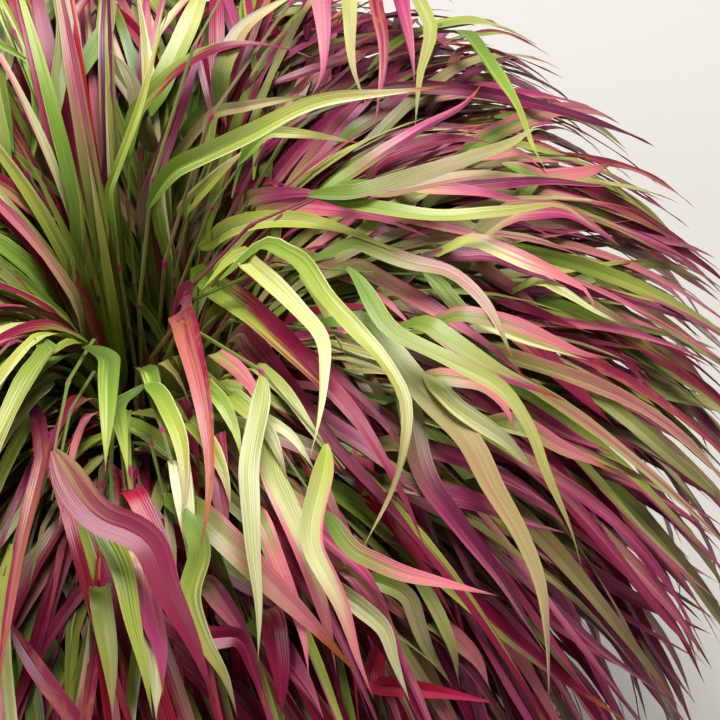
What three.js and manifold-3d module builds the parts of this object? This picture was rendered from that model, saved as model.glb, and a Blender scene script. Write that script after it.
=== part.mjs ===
// A potted clump of Japanese forest grass, 'Beni-kaze': a plain round pot, its soil, and leafy stems
// that rise from the crown and arch outwards in nested layers, like the jets of a fountain.
// Millimetres, +Z up, origin at the middle of the pot's foot. Azimuth 0 is +X and 90 is +Y.
import * as THREE from "three";
import { mergeVertices } from "three/addons/utils/BufferGeometryUtils.js";
import Module from "manifold-3d";

const wasm = await Module();
wasm.setup();

// The pot
const POT_HEIGHT = 185;
const POT_FOOT_RADIUS = 76;
const POT_RIM_RADIUS = 112;
const POT_WALL = 7;
const POT_FLOOR = 10;
const POT_BAND_HEIGHT = 36;
const POT_BAND_STEP = 5;
const POT_ROUNDING = 2.5;
const POT_SIDES = 32;
const DRAIN_HOLES = 3;
const DRAIN_RADIUS = 7;
const DRAIN_RING = 42;
const DRAIN_SIDES = 12;

// The soil and the stem holes in it
const SOIL_TOP = 168;
const SOIL_SIDES = 24;
const FIT_GAP = 0.3;
const HOLE_DEPTH = 14;
const HOLE_RADIUS = 2.9;
const HOLE_SIDES = 4;
const ROOT_DEPTH = 12;

// The arch that a stem and its blades follow: the slope in degrees falls from RISE by BEND, half of it
// at the arc length BEND_AT, and by DROOP, half of it at DROOP_AT
const RISE = 85;
const BEND = 92;
const BEND_AT = 205;
const BEND_POWER = 4;
const DROOP = 78;
const DROOP_AT = 430;
const DROOP_POWER = 3;
const ARCH_LENGTH = 700;
const ARCH_STEP = 2;

// The nested layers of arches: layer 0 is the uppermost and largest and has the smallest ring of roots.
// Each layer further down leans out more, droops more and is smaller. Arc lengths are those of layer 0.
const LAYERS = 10;
const FIRST_RING = 9;
const RING_STEP = 8;
const LEAN_STEP = 1.5;
const DROOP_STEP = 1.5;
const SHRINK = 0.035;
const SHRINK_MORE = 0.0035;

// Stems and blades
const STEM_RADIUS = 1.5;
const STEM_TIP_RADIUS = 0.8;
const STEM_STEP = 52;
const BLADE_ABOVE = 0.25;
const BLADE_KEEL = 0.6;
const FRONT_BLADE_STEP = 42;
const OUTER_BLADE_STEP = 56;
const ROOT_HALF_WIDTH = 0.4;
const ROOT_THINNING = 0.5;
const PATH_STEPS = 24;
const FINE_STEPS = 8 * PATH_STEPS;
const ARC_PER_RADIAN = 200;
const RIBBON_MARGIN = 1.5;
const SHORTEST_EDGE = 0.02;

// A stem leaves its root upright and has turned to its own azimuth between these arc lengths
const TURN_FROM = 10;
const TURN_TO = 150;

// A front blade springs from its stem below its first bend: at least ROOT_BEFORE, and further for each
// millimetre that the bend lies beside the stem
const ROOT_BEFORE = 22;
const ROOT_SLANT = 1.3;
const LOWEST_ROOT = 40;
const STEM_BEYOND_ROOT = 12;

// Colours of the nodes
const TINTS = {
  green: "#8fae4a",
  pale: "#cbd690",
  olive: "#8a8f5a",
  mauve: "#9a5f78",
  burgundy: "#6b1f3a",
  crimson: "#a3173a",
};

// The place from which the clump is known. The long blades that show there are laid out as they are
// seen from it, in a square view that is VIEW_WIDTH wide at the crown.
const VIEW_ELEVATION = 50;
const VIEW_DISTANCE = 850;
const VIEW_WIDTH = 310;
const VIEW_PIXELS = 720;
const CROWN_PIXEL = [115, 310];
const CROWN_HEIGHT = 130;

// The tufts in front: each is a node of a few stems from one root, with the blades that are nearest.
// base is the azimuth of the root and stems are the azimuths that the stems lean to.
const FRONT_TUFTS = [
  { name: "tuft_low_0", layer: 0, base: -84, stems: [-92], tint: "pale" },
  { name: "tuft_mid_0", layer: 0, base: -10, stems: [-54, -22, 4, 34], tint: "green" },
  { name: "tuft_high_0", layer: 0, base: 72, stems: [70, 92], tint: "green" },
  { name: "tuft_low_1", layer: 1, base: -72, stems: [-92, -74, -58], tint: "burgundy" },
  { name: "tuft_mid_1", layer: 1, base: -6, stems: [-34, -12, 12], tint: "mauve" },
  { name: "tuft_high_1", layer: 1, base: 66, stems: [42, 60, 86], tint: "burgundy" },
  { name: "tuft_low_2", layer: 2, base: -68, stems: [-84, -62], tint: "burgundy" },
  { name: "tuft_mid_2", layer: 2, base: -8, stems: [-32, -10, 14], tint: "crimson" },
  { name: "tuft_high_2", layer: 2, base: 66, stems: [60, 82], tint: "olive" },
  { name: "tuft_low_3", layer: 3, base: -70, stems: [-80, -56], tint: "crimson" },
  { name: "tuft_mid_3", layer: 3, base: -12, stems: [-38, -14, 10], tint: "olive" },
  { name: "tuft_high_3", layer: 3, base: 54, stems: [36, 74], tint: "mauve" },
];

// The long blades in front, by the tuft that carries them: the width in millimetres and the bends as
// pixels of the view, from the root end to the tip
const FRONT_BLADES = {
  tuft_low_0: [
    { width: 8.5, bends: [[110, 364], [108, 420], [105, 477]] },
    { width: 13.5, bends: [[112, 525], [127, 530], [145, 541], [166, 588], [191, 638], [216, 704]] },
  ],
  tuft_mid_0: [
    { width: 8, bends: [[249, 480], [253, 546], [259, 613], [258, 664]] },
    { width: 9, bends: [[316, 558], [340, 604], [359, 662], [374, 700]] },
    { width: 8.5, bends: [[170, 253], [180, 298], [193, 356], [203, 406], [209, 456], [206, 505],
      [197, 563]] },
    { width: 10, bends: [[240, 255], [266, 278], [299, 311], [322, 339], [324, 381], [318, 425],
      [310, 457]] },
    { width: 9, bends: [[266, 245], [299, 260], [324, 295], [360, 335], [382, 359], [406, 406], [405, 439],
      [396, 479], [362, 550]] },
    { width: 9, bends: [[401, 338], [460, 366], [501, 389], [526, 422], [547, 475], [572, 533],
      [583, 573]] },
    { width: 7, bends: [[360, 204], [435, 216], [509, 211], [564, 207], [592, 226], [615, 239]] },
    { width: 9, bends: [[360, 196], [443, 169], [509, 144], [542, 129], [554, 138]] },
  ],
  tuft_high_0: [
    { width: 9, bends: [[180, 167], [249, 136], [316, 103], [390, 93], [458, 85]] },
    { width: 10.5, bends: [[318, -40], [321, 0], [324, 41], [322, 75], [311, 100]] },
    { width: 9, bends: [[346, -40], [349, 0], [355, 75], [368, 108]] },
    { width: 4, bends: [[110, 187], [141, 103], [158, 41], [171, 5]] },
  ],
  tuft_low_1: [
    { width: 6, bends: [[118, 412], [124, 445], [128, 477]] },
    { width: 7, bends: [[150, 375], [158, 400], [163, 427]] },
    { width: 7, bends: [[165, 406], [180, 440], [185, 479], [183, 520]] },
    { width: 8.5, bends: [[103, 531], [120, 563], [133, 621], [146, 679], [153, 719]] },
    { width: 8, bends: [[199, 561], [190, 596], [203, 638], [226, 679], [238, 719]] },
    { width: 9, bends: [[274, 480], [299, 538], [316, 588], [332, 646], [337, 677]] },
    { width: 7, bends: [[360, 555], [401, 573], [443, 583], [499, 596]] },
  ],
  tuft_mid_1: [
    { width: 13, bends: [[200, 275], [224, 291], [266, 326], [307, 366], [349, 409], [400, 490],
      [430, 560]] },
    { width: 9.5, bends: [[368, 323], [401, 364], [435, 403], [468, 439], [493, 488], [518, 530],
      [539, 580], [547, 638], [549, 700]] },
    { width: 8, bends: [[360, 243], [410, 262], [451, 273], [484, 303], [501, 333], [518, 371]] },
    { width: 8, bends: [[393, 192], [476, 176], [547, 176]] },
    { width: 7, bends: [[360, 166], [426, 126], [468, 101], [484, 81]] },
    { width: 8, bends: [[463, 414], [509, 444], [539, 477]] },
  ],
  tuft_high_1: [
    { width: 7, bends: [[140, 108], [183, 66], [249, 45], [282, 48], [314, 58]] },
    { width: 7, bends: [[372, -40], [375, 0], [383, 41], [375, 129]] },
    { width: 6, bends: [[277, 133], [320, 137], [360, 143]] },
  ],
  tuft_low_2: [
    { width: 10, bends: [[213, 639], [238, 639], [254, 671], [269, 719]] },
    { width: 8, bends: [[304, 513], [332, 543], [360, 570], [390, 610]] },
    { width: 7, bends: [[360, 609], [382, 629], [393, 659], [410, 702]] },
  ],
  tuft_mid_2: [
    { width: 9, bends: [[241, 333], [274, 373], [312, 419], [349, 464], [400, 520]] },
    { width: 7, bends: [[360, 270], [410, 296], [460, 326], [501, 356], [531, 384]] },
    { width: 9.5, bends: [[435, 497], [468, 538], [501, 580], [526, 621], [551, 662]] },
    { width: 8, bends: [[549, 176], [585, 172], [615, 163]] },
    { width: 7, bends: [[435, 191], [490, 196], [542, 204]] },
    { width: 7, bends: [[476, 321], [526, 340], [590, 361]] },
  ],
  tuft_high_2: [
    { width: 10.5, bends: [[166, 75], [185, 35], [199, 0], [212, -40]] },
    { width: 7, bends: [[148, 194], [172, 130], [193, 71], [205, 30]] },
    { width: 6, bends: [[219, 113], [265, 103], [314, 95]] },
  ],
  tuft_low_3: [
    { width: 8, bends: [[125, 497], [130, 545], [132, 596]] },
    { width: 8, bends: [[208, 566], [212, 600], [214, 629]] },
    { width: 7, bends: [[410, 604], [426, 646], [453, 687]] },
    { width: 7, bends: [[377, 686], [426, 691], [501, 704]] },
  ],
  tuft_mid_3: [
    { width: 7, bends: [[215, 322], [235, 345], [249, 363], [272, 426]] },
    { width: 8, bends: [[373, 497], [410, 546], [440, 596], [460, 629]] },
    { width: 7, bends: [[393, 295], [426, 328], [440, 359], [453, 398], [460, 414]] },
    { width: 8, bends: [[546, 364], [580, 395], [615, 427]] },
    { width: 7, bends: [[549, 176], [585, 180], [615, 186]] },
  ],
  tuft_high_3: [
    { width: 7, bends: [[199, 119], [237, 90], [276, 60]] },
    { width: 8, bends: [[372, 120], [410, 92], [446, 76]] },
  ],
};

// The other stems: for each layer the azimuth where they begin, the arc that they share and their count
const OUTER_RINGS = [
  { layer: 0, from: 108, arc: 148, count: 2 },
  { layer: 1, from: 104, arc: 144, count: 2 },
  { layer: 2, from: 100, arc: 160, count: 2 },
  { layer: 3, from: 98, arc: 154, count: 2 },
  { layer: 4, from: 12, arc: 360, count: 6 },
  { layer: 5, from: 40, arc: 360, count: 6 },
  { layer: 6, from: 5, arc: 360, count: 6 },
  { layer: 7, from: 31, arc: 360, count: 6 },
  { layer: 8, from: 0, arc: 360, count: 7 },
  { layer: 9, from: 23, arc: 360, count: 7 },
];
const OUTER_TINTS = ["green", "burgundy", "olive", "pale", "crimson", "mauve"];
const OUTER_BLADES = 7;

// An outer stem: arc lengths, and shares of its half sector. Each pair is a least value and what the
// seeded draw can add to it.
const OUTER_STEM_LENGTH = [270, 110];
const OUTER_STEM_LEAN = 0.25;
const OUTER_FIRST_ROOT = 50;
const OUTER_LAST_ROOT = 30;
const OUTER_ROOT_SHIFT = 4;
const OUTER_TIP_ROOT = 14;

// Its blades: millimetres, and degrees from the stem's own direction
const OUTER_WIDTH = [6, 4.5];
const OUTER_LENGTH = [140, 100];
const OUTER_HEADING = [16, 24];
const OUTER_WANDER = 7;
const OUTER_ROLL = 13;
const OUTER_LIFT = 1.2;
const STRAIGHTENING = 0.7;
const WANDER_TURNS = 5;

// How the surfaces look
const LEAF_ROUGHNESS = 0.45;
const POT_COLOUR = "#a5674a";
const POT_ROUGHNESS = 0.85;
const SOIL_COLOUR = "#2c231c";
const SOIL_ROUGHNESS = 1;

const rad = THREE.MathUtils.degToRad;

// A seeded draw of numbers between 0 and 1
function seededDraw(seed) {
  let state = seed >>> 0;
  return () => {
    state = (state + 0x6d2b79f5) >>> 0;
    let mixed = Math.imul(state ^ (state >>> 15), state | 1);
    mixed = (mixed + Math.imul(mixed ^ (mixed >>> 7), mixed | 61)) ^ mixed;
    return ((mixed ^ (mixed >>> 14)) >>> 0) / 4294967296;
  };
}

// The size of a layer's arch as a share of that of layer 0
function layerSize(layer) {
  return 1 - SHRINK * layer - SHRINK_MORE * layer ** 2;
}

// A layer's arch as points at every ARCH_STEP: radius, height over the soil and slope
function archPoints(layer) {
  const points = [];
  let radius = FIRST_RING + RING_STEP * layer;
  let height = 0;
  for (let arc = 0; arc <= ARCH_LENGTH; arc += ARCH_STEP) {
    const bend = arc ** BEND_POWER / (arc ** BEND_POWER + BEND_AT ** BEND_POWER);
    const droop = arc ** DROOP_POWER / (arc ** DROOP_POWER + DROOP_AT ** DROOP_POWER);
    const slope = rad(RISE - LEAN_STEP * layer - BEND * bend - (DROOP + DROOP_STEP * layer) * droop);
    points.push({ radius, height, slope });
    radius += ARCH_STEP * layerSize(layer) * Math.cos(slope);
    height += ARCH_STEP * layerSize(layer) * Math.sin(slope);
  }
  return points;
}
const ARCHES = Array.from({ length: LAYERS }, (_, layer) => archPoints(layer));

// Radius, height and slope at an arc length of a layer, lift being the height over the layer
function onArch(arc, layer, lift = 0) {
  const arch = ARCHES[layer];
  const place = Math.min(Math.max(arc / ARCH_STEP, 0), arch.length - 1.001);
  const low = arch[Math.floor(place)];
  const high = arch[Math.floor(place) + 1];
  const share = place - Math.floor(place);
  const slope = low.slope + (high.slope - low.slope) * share;
  return {
    radius: low.radius + (high.radius - low.radius) * share - lift * Math.sin(slope),
    height: low.height + (high.height - low.height) * share + lift * Math.cos(slope),
    slope,
  };
}

// A point of a layer in space, and the outward normal of the layer there
function layerPoint(azimuth, arc, layer, lift) {
  const { radius, height } = onArch(arc, layer, lift);
  return new THREE.Vector3(
    radius * Math.cos(azimuth),
    radius * Math.sin(azimuth),
    SOIL_TOP + height,
  );
}

function layerNormal(azimuth, arc, layer) {
  const { slope } = onArch(arc, layer);
  return new THREE.Vector3(
    -Math.sin(slope) * Math.cos(azimuth),
    -Math.sin(slope) * Math.sin(azimuth),
    Math.cos(slope),
  );
}

// The arc length at which a layer has a radius
function arcAtRadius(radius, layer) {
  let low = 0;
  let high = ARCH_LENGTH - ARCH_STEP;
  while (high - low > 0.01) {
    const middle = (low + high) / 2;
    if (onArch(middle, layer).radius < radius) low = middle;
    else high = middle;
  }
  return low;
}

// The place on a layer that is seen at a pixel of the view, as azimuth and arc length
function seenAt(pixel, layer) {
  const up = new THREE.Vector3(0, Math.sin(rad(VIEW_ELEVATION)), Math.cos(rad(VIEW_ELEVATION)));
  const back = new THREE.Vector3(0, -Math.cos(rad(VIEW_ELEVATION)), Math.sin(rad(VIEW_ELEVATION)));
  const scale = VIEW_WIDTH / VIEW_PIXELS;
  const eye = new THREE.Vector3(0, 0, SOIL_TOP + CROWN_HEIGHT)
    .add(new THREE.Vector3((VIEW_PIXELS / 2 - CROWN_PIXEL[0]) * scale, 0, 0))
    .addScaledVector(up, (CROWN_PIXEL[1] - VIEW_PIXELS / 2) * scale)
    .addScaledVector(back, VIEW_DISTANCE);
  const ray = new THREE.Vector3((pixel[0] - VIEW_PIXELS / 2) * scale, 0, 0)
    .addScaledVector(up, (VIEW_PIXELS / 2 - pixel[1]) * scale)
    .addScaledVector(back, -VIEW_DISTANCE)
    .normalize();
  const above = (distance) => {
    const at = eye.clone().addScaledVector(ray, distance);
    const arc = arcAtRadius(Math.hypot(at.x, at.y), layer);
    return at.z - SOIL_TOP - onArch(arc, layer).height;
  };
  let far = VIEW_DISTANCE / 2;
  while (above(far) > 0) far += 4;
  let near = far - 4;
  while (far - near > 0.01) {
    const middle = (near + far) / 2;
    if (above(middle) > 0) near = middle;
    else far = middle;
  }
  const hit = eye.addScaledVector(ray, near);
  return { azimuth: Math.atan2(hit.y, hit.x), arc: arcAtRadius(Math.hypot(hit.x, hit.y), layer) };
}

// A smooth path of PATH_STEPS steps of equal length through places given as azimuth and arc length
function smoothPath(places, layer) {
  const points = places.map((p) => new THREE.Vector3(p.azimuth, p.arc / ARC_PER_RADIAN, 0));
  const curve = new THREE.CatmullRomCurve3(points, false, "catmullrom", 0.5);
  const fine = curve
    .getPoints(FINE_STEPS)
    .map((point) => ({ azimuth: point.x, arc: point.y * ARC_PER_RADIAN }));
  const lengths = [0];
  for (let i = 1; i < fine.length; i++) {
    const a = layerPoint(fine[i - 1].azimuth, fine[i - 1].arc, layer, 0);
    const b = layerPoint(fine[i].azimuth, fine[i].arc, layer, 0);
    lengths.push(lengths[i - 1] + a.distanceTo(b));
  }
  const path = [];
  let j = 0;
  for (let i = 0; i <= PATH_STEPS; i++) {
    const wanted = (lengths.at(-1) * i) / PATH_STEPS;
    while (j < fine.length - 2 && lengths[j + 1] < wanted) j++;
    const share = (wanted - lengths[j]) / (lengths[j + 1] - lengths[j]);
    path.push({
      azimuth: fine[j].azimuth + (fine[j + 1].azimuth - fine[j].azimuth) * share,
      arc: fine[j].arc + (fine[j + 1].arc - fine[j].arc) * share,
    });
  }
  return { path, length: lengths.at(-1) };
}

// Where a path is at a share of its length
function alongPath(path, share) {
  const place = Math.min(share * PATH_STEPS, PATH_STEPS - 1e-6);
  const low = path[Math.floor(place)];
  const high = path[Math.floor(place) + 1];
  const rest = place - Math.floor(place);
  return {
    azimuth: low.azimuth + (high.azimuth - low.azimuth) * rest,
    arc: low.arc + (high.arc - low.arc) * rest,
  };
}

// The closed solid of a section of three corners swept through rings, ending in a point. Each side
// between two rings is split along the diagonal that bulges outwards, so a twist can't cross its walls.
function taperedSolid(rings, tip) {
  const vertices = [...rings.flat(), tip];
  const faces = [[0, 2, 1]];
  for (let i = 0; i + 1 < rings.length; i++) {
    for (let side = 0; side < 3; side++) {
      const a = 3 * i + side;
      const b = 3 * i + ((side + 1) % 3);
      const edge = (to) => vertices[to].clone().sub(vertices[a]);
      const bulges = edge(b).cross(edge(b + 3)).dot(edge(a + 3)) <= 0;
      if (bulges) faces.push([a, b, b + 3], [a, b + 3, a + 3]);
      else faces.push([a, b, a + 3], [b, b + 3, a + 3]);
    }
  }
  const last = 3 * (rings.length - 1);
  for (let side = 0; side < 3; side++) {
    faces.push([last + side, last + ((side + 1) % 3), vertices.length - 1]);
  }
  return new wasm.Manifold(
    new wasm.Mesh({
      numProp: 3,
      vertProperties: new Float32Array(vertices.flatMap((v) => v.toArray())),
      triVerts: new Uint32Array(faces.flat()),
    }),
  );
}

// The width of a blade at a share of its length, as a share of its full width
function bladeWidth(share) {
  const opening = 0.3 + 0.7 * Math.sin(Math.min(share / 0.3, 1) * Math.PI * 0.5);
  const closing = share < 0.45 ? 1 : Math.cos(((share - 0.45) / 0.55) * Math.PI * 0.5) ** 0.8;
  return opening * closing;
}

// A blade: a keeled ribbon along its path, from a root inside the stem to a fine tip
function bladeSolid(blade) {
  const rings = [];
  const at = (share) => {
    const place = alongPath(blade.path, share);
    const lift = blade.lift * Math.min(share / 0.2, 1);
    return layerPoint(place.azimuth, place.arc, blade.layer, lift);
  };
  for (let i = 0; i < blade.steps; i++) {
    const share = i / blade.steps;
    const middle = i === 0 ? stemMiddle(blade.stem, blade.path[0].arc) : at(share);
    const along = at(Math.min(share + 0.02, 1)).sub(at(Math.max(share - 0.02, 0))).normalize();
    const place = alongPath(blade.path, share);
    const normal = layerNormal(place.azimuth, place.arc, blade.layer);
    normal.addScaledVector(along, -normal.dot(along)).normalize();
    normal.applyAxisAngle(along, rad(blade.roll * Math.min(share / 0.3, 1)));
    const across = new THREE.Vector3().crossVectors(along, normal);
    const half = i === 0 ? ROOT_HALF_WIDTH : (blade.width / 2) * bladeWidth(share);
    const thin = i === 0 ? ROOT_THINNING : 1;
    rings.push([
      middle.clone().addScaledVector(normal, BLADE_ABOVE * thin).addScaledVector(across, -half),
      middle.clone().addScaledVector(normal, BLADE_ABOVE * thin).addScaledVector(across, half),
      middle.clone().addScaledVector(normal, -BLADE_KEEL * thin),
    ]);
  }
  return taperedSolid(rings, at(1));
}

// The azimuth of a stem at an arc length: it leaves its root and leans over to its own direction
function stemAzimuth(stem, arc) {
  const share = THREE.MathUtils.smoothstep(arc, TURN_FROM, TURN_TO);
  return stem.base + (stem.lean - stem.base) * share;
}

function stemSteps(stem) {
  return Math.max(3, Math.ceil((stem.length * layerSize(stem.layer)) / STEM_STEP));
}

// The middle of a stem at an arc length, on the straight stretches that the stem is made of
function stemMiddle(stem, arc) {
  const steps = stemSteps(stem);
  const place = (arc / stem.length) * steps;
  const joint = (index) => {
    const at = (stem.length * index) / steps;
    return layerPoint(stemAzimuth(stem, at), at, stem.layer, 0);
  };
  return joint(Math.floor(place)).lerp(joint(Math.floor(place) + 1), place % 1);
}

function stemSolid(stem) {
  const steps = stemSteps(stem);
  const rings = [];
  const foot = layerPoint(stem.base, 0, stem.layer, 0);
  const rootEnd = foot.clone().setZ(SOIL_TOP - ROOT_DEPTH);
  const ring = (middle, along, radius) => {
    const side = new THREE.Vector3(-Math.sin(stem.base), Math.cos(stem.base), 0);
    side.addScaledVector(along, -side.dot(along)).normalize();
    return [0, 120, 240].map((angle) =>
      middle.clone().addScaledVector(side.clone().applyAxisAngle(along, rad(angle)), radius),
    );
  };
  const upwards = new THREE.Vector3(0, 0, 1);
  rings.push(ring(rootEnd, upwards, STEM_RADIUS));
  rings.push(ring(foot, upwards, STEM_RADIUS));
  const at = (arc) => layerPoint(stemAzimuth(stem, arc), arc, stem.layer, 0);
  for (let i = 1; i < steps; i++) {
    const arc = (stem.length * i) / steps;
    const along = at(arc + 2).sub(at(arc - 2)).normalize();
    const radius = STEM_RADIUS + ((STEM_TIP_RADIUS - STEM_RADIUS) * i) / steps;
    rings.push(ring(at(arc), along, radius));
  }
  return taperedSolid(rings, at(stem.length));
}

// A named mesh of stems and blades joined into one body, without the loose scraps that joining leaves
function leafyMesh(name, stems, blades, tint) {
  const solids = [...stems.map(stemSolid), ...blades.map(bladeSolid)];
  const bodies = wasm.Manifold.union(solids).decompose();
  const whole = bodies.reduce((most, body) => (body.volume() > most.volume() ? body : most));
  return solidMesh(name, withoutSlivers(whole), TINTS[tint], LEAF_ROUGHNESS);
}

// The solid with both ends of each very short edge made one corner, because crossing blades leave
// slivers when they are joined. Two faces that this lays on each other cancel out.
function withoutSlivers(solid) {
  const { vertProperties: at, triVerts: corners } = solid.getMesh();
  const corner = (i) => new THREE.Vector3().fromArray(at, 3 * i);
  const standIn = Array.from({ length: at.length / 3 }, (_, i) => i);
  const kept = (i) => (standIn[i] === i ? i : kept(standIn[i]));
  corners.forEach((a, i) => {
    const b = corners[i % 3 === 2 ? i - 2 : i + 1];
    const short = corner(a).distanceTo(corner(b)) < SHORTEST_EDGE;
    if (short) standIn[kept(Math.max(a, b))] = kept(Math.min(a, b));
  });
  const faces = new Map();
  for (let i = 0; i < corners.length; i += 3) {
    const face = [kept(corners[i]), kept(corners[i + 1]), kept(corners[i + 2])];
    const key = [...face].sort().join();
    if (new Set(face).size === 3 && !faces.delete(key)) faces.set(key, face);
  }
  const triVerts = new Uint32Array([...faces.values()].flat());
  return new wasm.Manifold(new wasm.Mesh({ numProp: 3, vertProperties: at, triVerts }));
}

function solidMesh(name, solid, colour, roughness) {
  const made = solid.getMesh();
  const geometry = new THREE.BufferGeometry();
  geometry.setAttribute("position", new THREE.BufferAttribute(made.vertProperties, 3));
  geometry.setIndex(new THREE.BufferAttribute(made.triVerts, 1));
  geometry.computeVertexNormals();
  const material = new THREE.MeshStandardMaterial({ color: colour, roughness, metalness: 0 });
  const mesh = new THREE.Mesh(geometry, material);
  mesh.name = name;
  return mesh;
}

function solidOf(geometry) {
  geometry.deleteAttribute("normal");
  geometry.deleteAttribute("uv");
  const merged = mergeVertices(geometry, 1e-4);
  return new wasm.Manifold(
    new wasm.Mesh({
      numProp: 3,
      vertProperties: merged.attributes.position.array,
      triVerts: new Uint32Array(merged.index.array),
    }),
  );
}

// A front tuft: its blades spring from whichever of its stems is nearest
function frontTuft(tuft) {
  const stems = tuft.stems.map((lean) => ({
    layer: tuft.layer,
    base: rad(tuft.base),
    lean: rad(lean),
    length: 0,
  }));
  const blades = FRONT_BLADES[tuft.name].map((blade) => {
    const places = blade.bends.map((pixel) => seenAt(pixel, tuft.layer));
    const first = places[0];
    const sideways = (stem) => Math.abs(first.azimuth - stemAzimuth(stem, first.arc));
    const stem = stems.reduce((best, other) => (sideways(other) < sideways(best) ? other : best));
    const reach = sideways(stem) * onArch(first.arc, tuft.layer).radius;
    const rootArc = Math.max(LOWEST_ROOT, first.arc - Math.max(ROOT_BEFORE, ROOT_SLANT * reach));
    places.unshift({ azimuth: stemAzimuth(stem, rootArc), arc: rootArc });
    stem.length = Math.max(stem.length, rootArc + STEM_BEYOND_ROOT);
    const { path, length } = smoothPath(places, tuft.layer);
    const steps = THREE.MathUtils.clamp(Math.round(length / FRONT_BLADE_STEP), 3, 7);
    return { layer: tuft.layer, stem, width: blade.width, path, steps, lift: 0, roll: 0 };
  });
  return { stems: stems.filter((stem) => stem.length > 0), blades };
}

// An outer stem with blades to its left and right in turn, kept within its share of the ring
function outerStem(ring, slot) {
  const draw = seededDraw(1000 * ring.layer + slot + 1);
  const within = ([least, more]) => least + more * draw();
  const around = (most) => most * (2 * draw() - 1);
  const half = rad(ring.arc / ring.count) / 2;
  const base = rad(ring.from) + half * (2 * slot + 1);
  const lean = base + half * around(OUTER_STEM_LEAN);
  const stem = { layer: ring.layer, base, lean, length: within(OUTER_STEM_LENGTH) };
  const spread = stem.length - OUTER_FIRST_ROOT - OUTER_LAST_ROOT;
  const blades = [];
  for (let i = 0; i < OUTER_BLADES; i++) {
    const last = i === OUTER_BLADES - 1;
    const sideRoot = OUTER_FIRST_ROOT + (spread * i) / (OUTER_BLADES - 1) + around(OUTER_ROOT_SHIFT);
    const rootArc = last ? stem.length - OUTER_TIP_ROOT : sideRoot;
    const width = within(OUTER_WIDTH);
    const length = within(OUTER_LENGTH) * Math.sqrt(layerSize(ring.layer));
    const sideHeading = rad(within(OUTER_HEADING)) * (i % 2 ? 1 : -1);
    const heading = last ? 0 : sideHeading;
    const wander = rad(around(OUTER_WANDER));
    const roll = around(OUTER_ROLL);
    const lift = ((i % 3) - 1) * OUTER_LIFT;
    const path = steeredPath(stem, { rootArc, width, length, heading, wander, half });
    const steps = THREE.MathUtils.clamp(Math.round(length / OUTER_BLADE_STEP), 3, 4);
    blades.push({ layer: ring.layer, stem, width, path, steps, lift, roll });
  }
  return { stems: [stem], blades };
}

// The path of a blade that leaves its stem at a heading, straightens out and keeps inside the half
// sector on either side of the stem's root
function steeredPath(stem, { rootArc, width, length, heading, wander, half }) {
  const step = length / PATH_STEPS;
  const path = [{ azimuth: stemAzimuth(stem, rootArc), arc: rootArc }];
  for (let i = 0; i < PATH_STEPS; i++) {
    const from = path[i];
    const share = i / PATH_STEPS;
    const turn = heading * (1 - STRAIGHTENING * share) + wander * Math.sin(share * WANDER_TURNS);
    const { radius } = onArch(from.arc, stem.layer);
    const limit = half - (width / 2 + RIBBON_MARGIN) / radius;
    const azimuth = from.azimuth + (Math.sin(turn) * step) / radius;
    const kept = THREE.MathUtils.clamp(azimuth, stem.base - limit, stem.base + limit);
    const arc = from.arc + (Math.cos(turn) * step) / layerSize(stem.layer);
    path.push({ azimuth: kept, arc: Math.min(arc, ARCH_LENGTH - 2 * ARCH_STEP) });
  }
  return path;
}

// The outer radius of the pot's tapered wall at a height
function potRadius(height) {
  const taper = (POT_RIM_RADIUS - POT_BAND_STEP - POT_FOOT_RADIUS) / POT_HEIGHT;
  return POT_FOOT_RADIUS + taper * height;
}

function potOutline() {
  const bandFoot = POT_HEIGHT - POT_BAND_HEIGHT;
  const outer = potRadius;
  const inner = (height) => outer(height) - POT_WALL;
  return [
    [0, 0],
    [POT_FOOT_RADIUS - POT_ROUNDING, 0],
    [POT_FOOT_RADIUS, POT_ROUNDING],
    [outer(bandFoot), bandFoot],
    [outer(bandFoot) + POT_BAND_STEP, bandFoot + POT_ROUNDING],
    [POT_RIM_RADIUS, POT_HEIGHT - POT_ROUNDING],
    [POT_RIM_RADIUS - POT_ROUNDING, POT_HEIGHT],
    [inner(POT_HEIGHT) + POT_ROUNDING, POT_HEIGHT],
    [inner(POT_HEIGHT), POT_HEIGHT - POT_ROUNDING],
    [inner(POT_FLOOR), POT_FLOOR],
    [0, POT_FLOOR],
  ].map(([radius, height]) => new THREE.Vector2(radius, height));
}

function turned(outline, sides) {
  return solidOf(new THREE.LatheGeometry(outline, sides).rotateX(Math.PI / 2));
}

function uprightHole(radius, sides, x, y, from, to) {
  const drill = new THREE.CylinderGeometry(radius, radius, to - from, sides).rotateX(Math.PI / 2);
  return solidOf(drill.translate(x, y, (from + to) / 2));
}

function potMesh() {
  let pot = turned(potOutline(), POT_SIDES);
  for (let i = 0; i < DRAIN_HOLES; i++) {
    const angle = (2 * Math.PI * i) / DRAIN_HOLES;
    const x = DRAIN_RING * Math.cos(angle);
    const y = DRAIN_RING * Math.sin(angle);
    pot = pot.subtract(uprightHole(DRAIN_RADIUS, DRAIN_SIDES, x, y, -1, POT_FLOOR + 1));
  }
  return solidMesh("pot", pot, POT_COLOUR, POT_ROUGHNESS);
}

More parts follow.
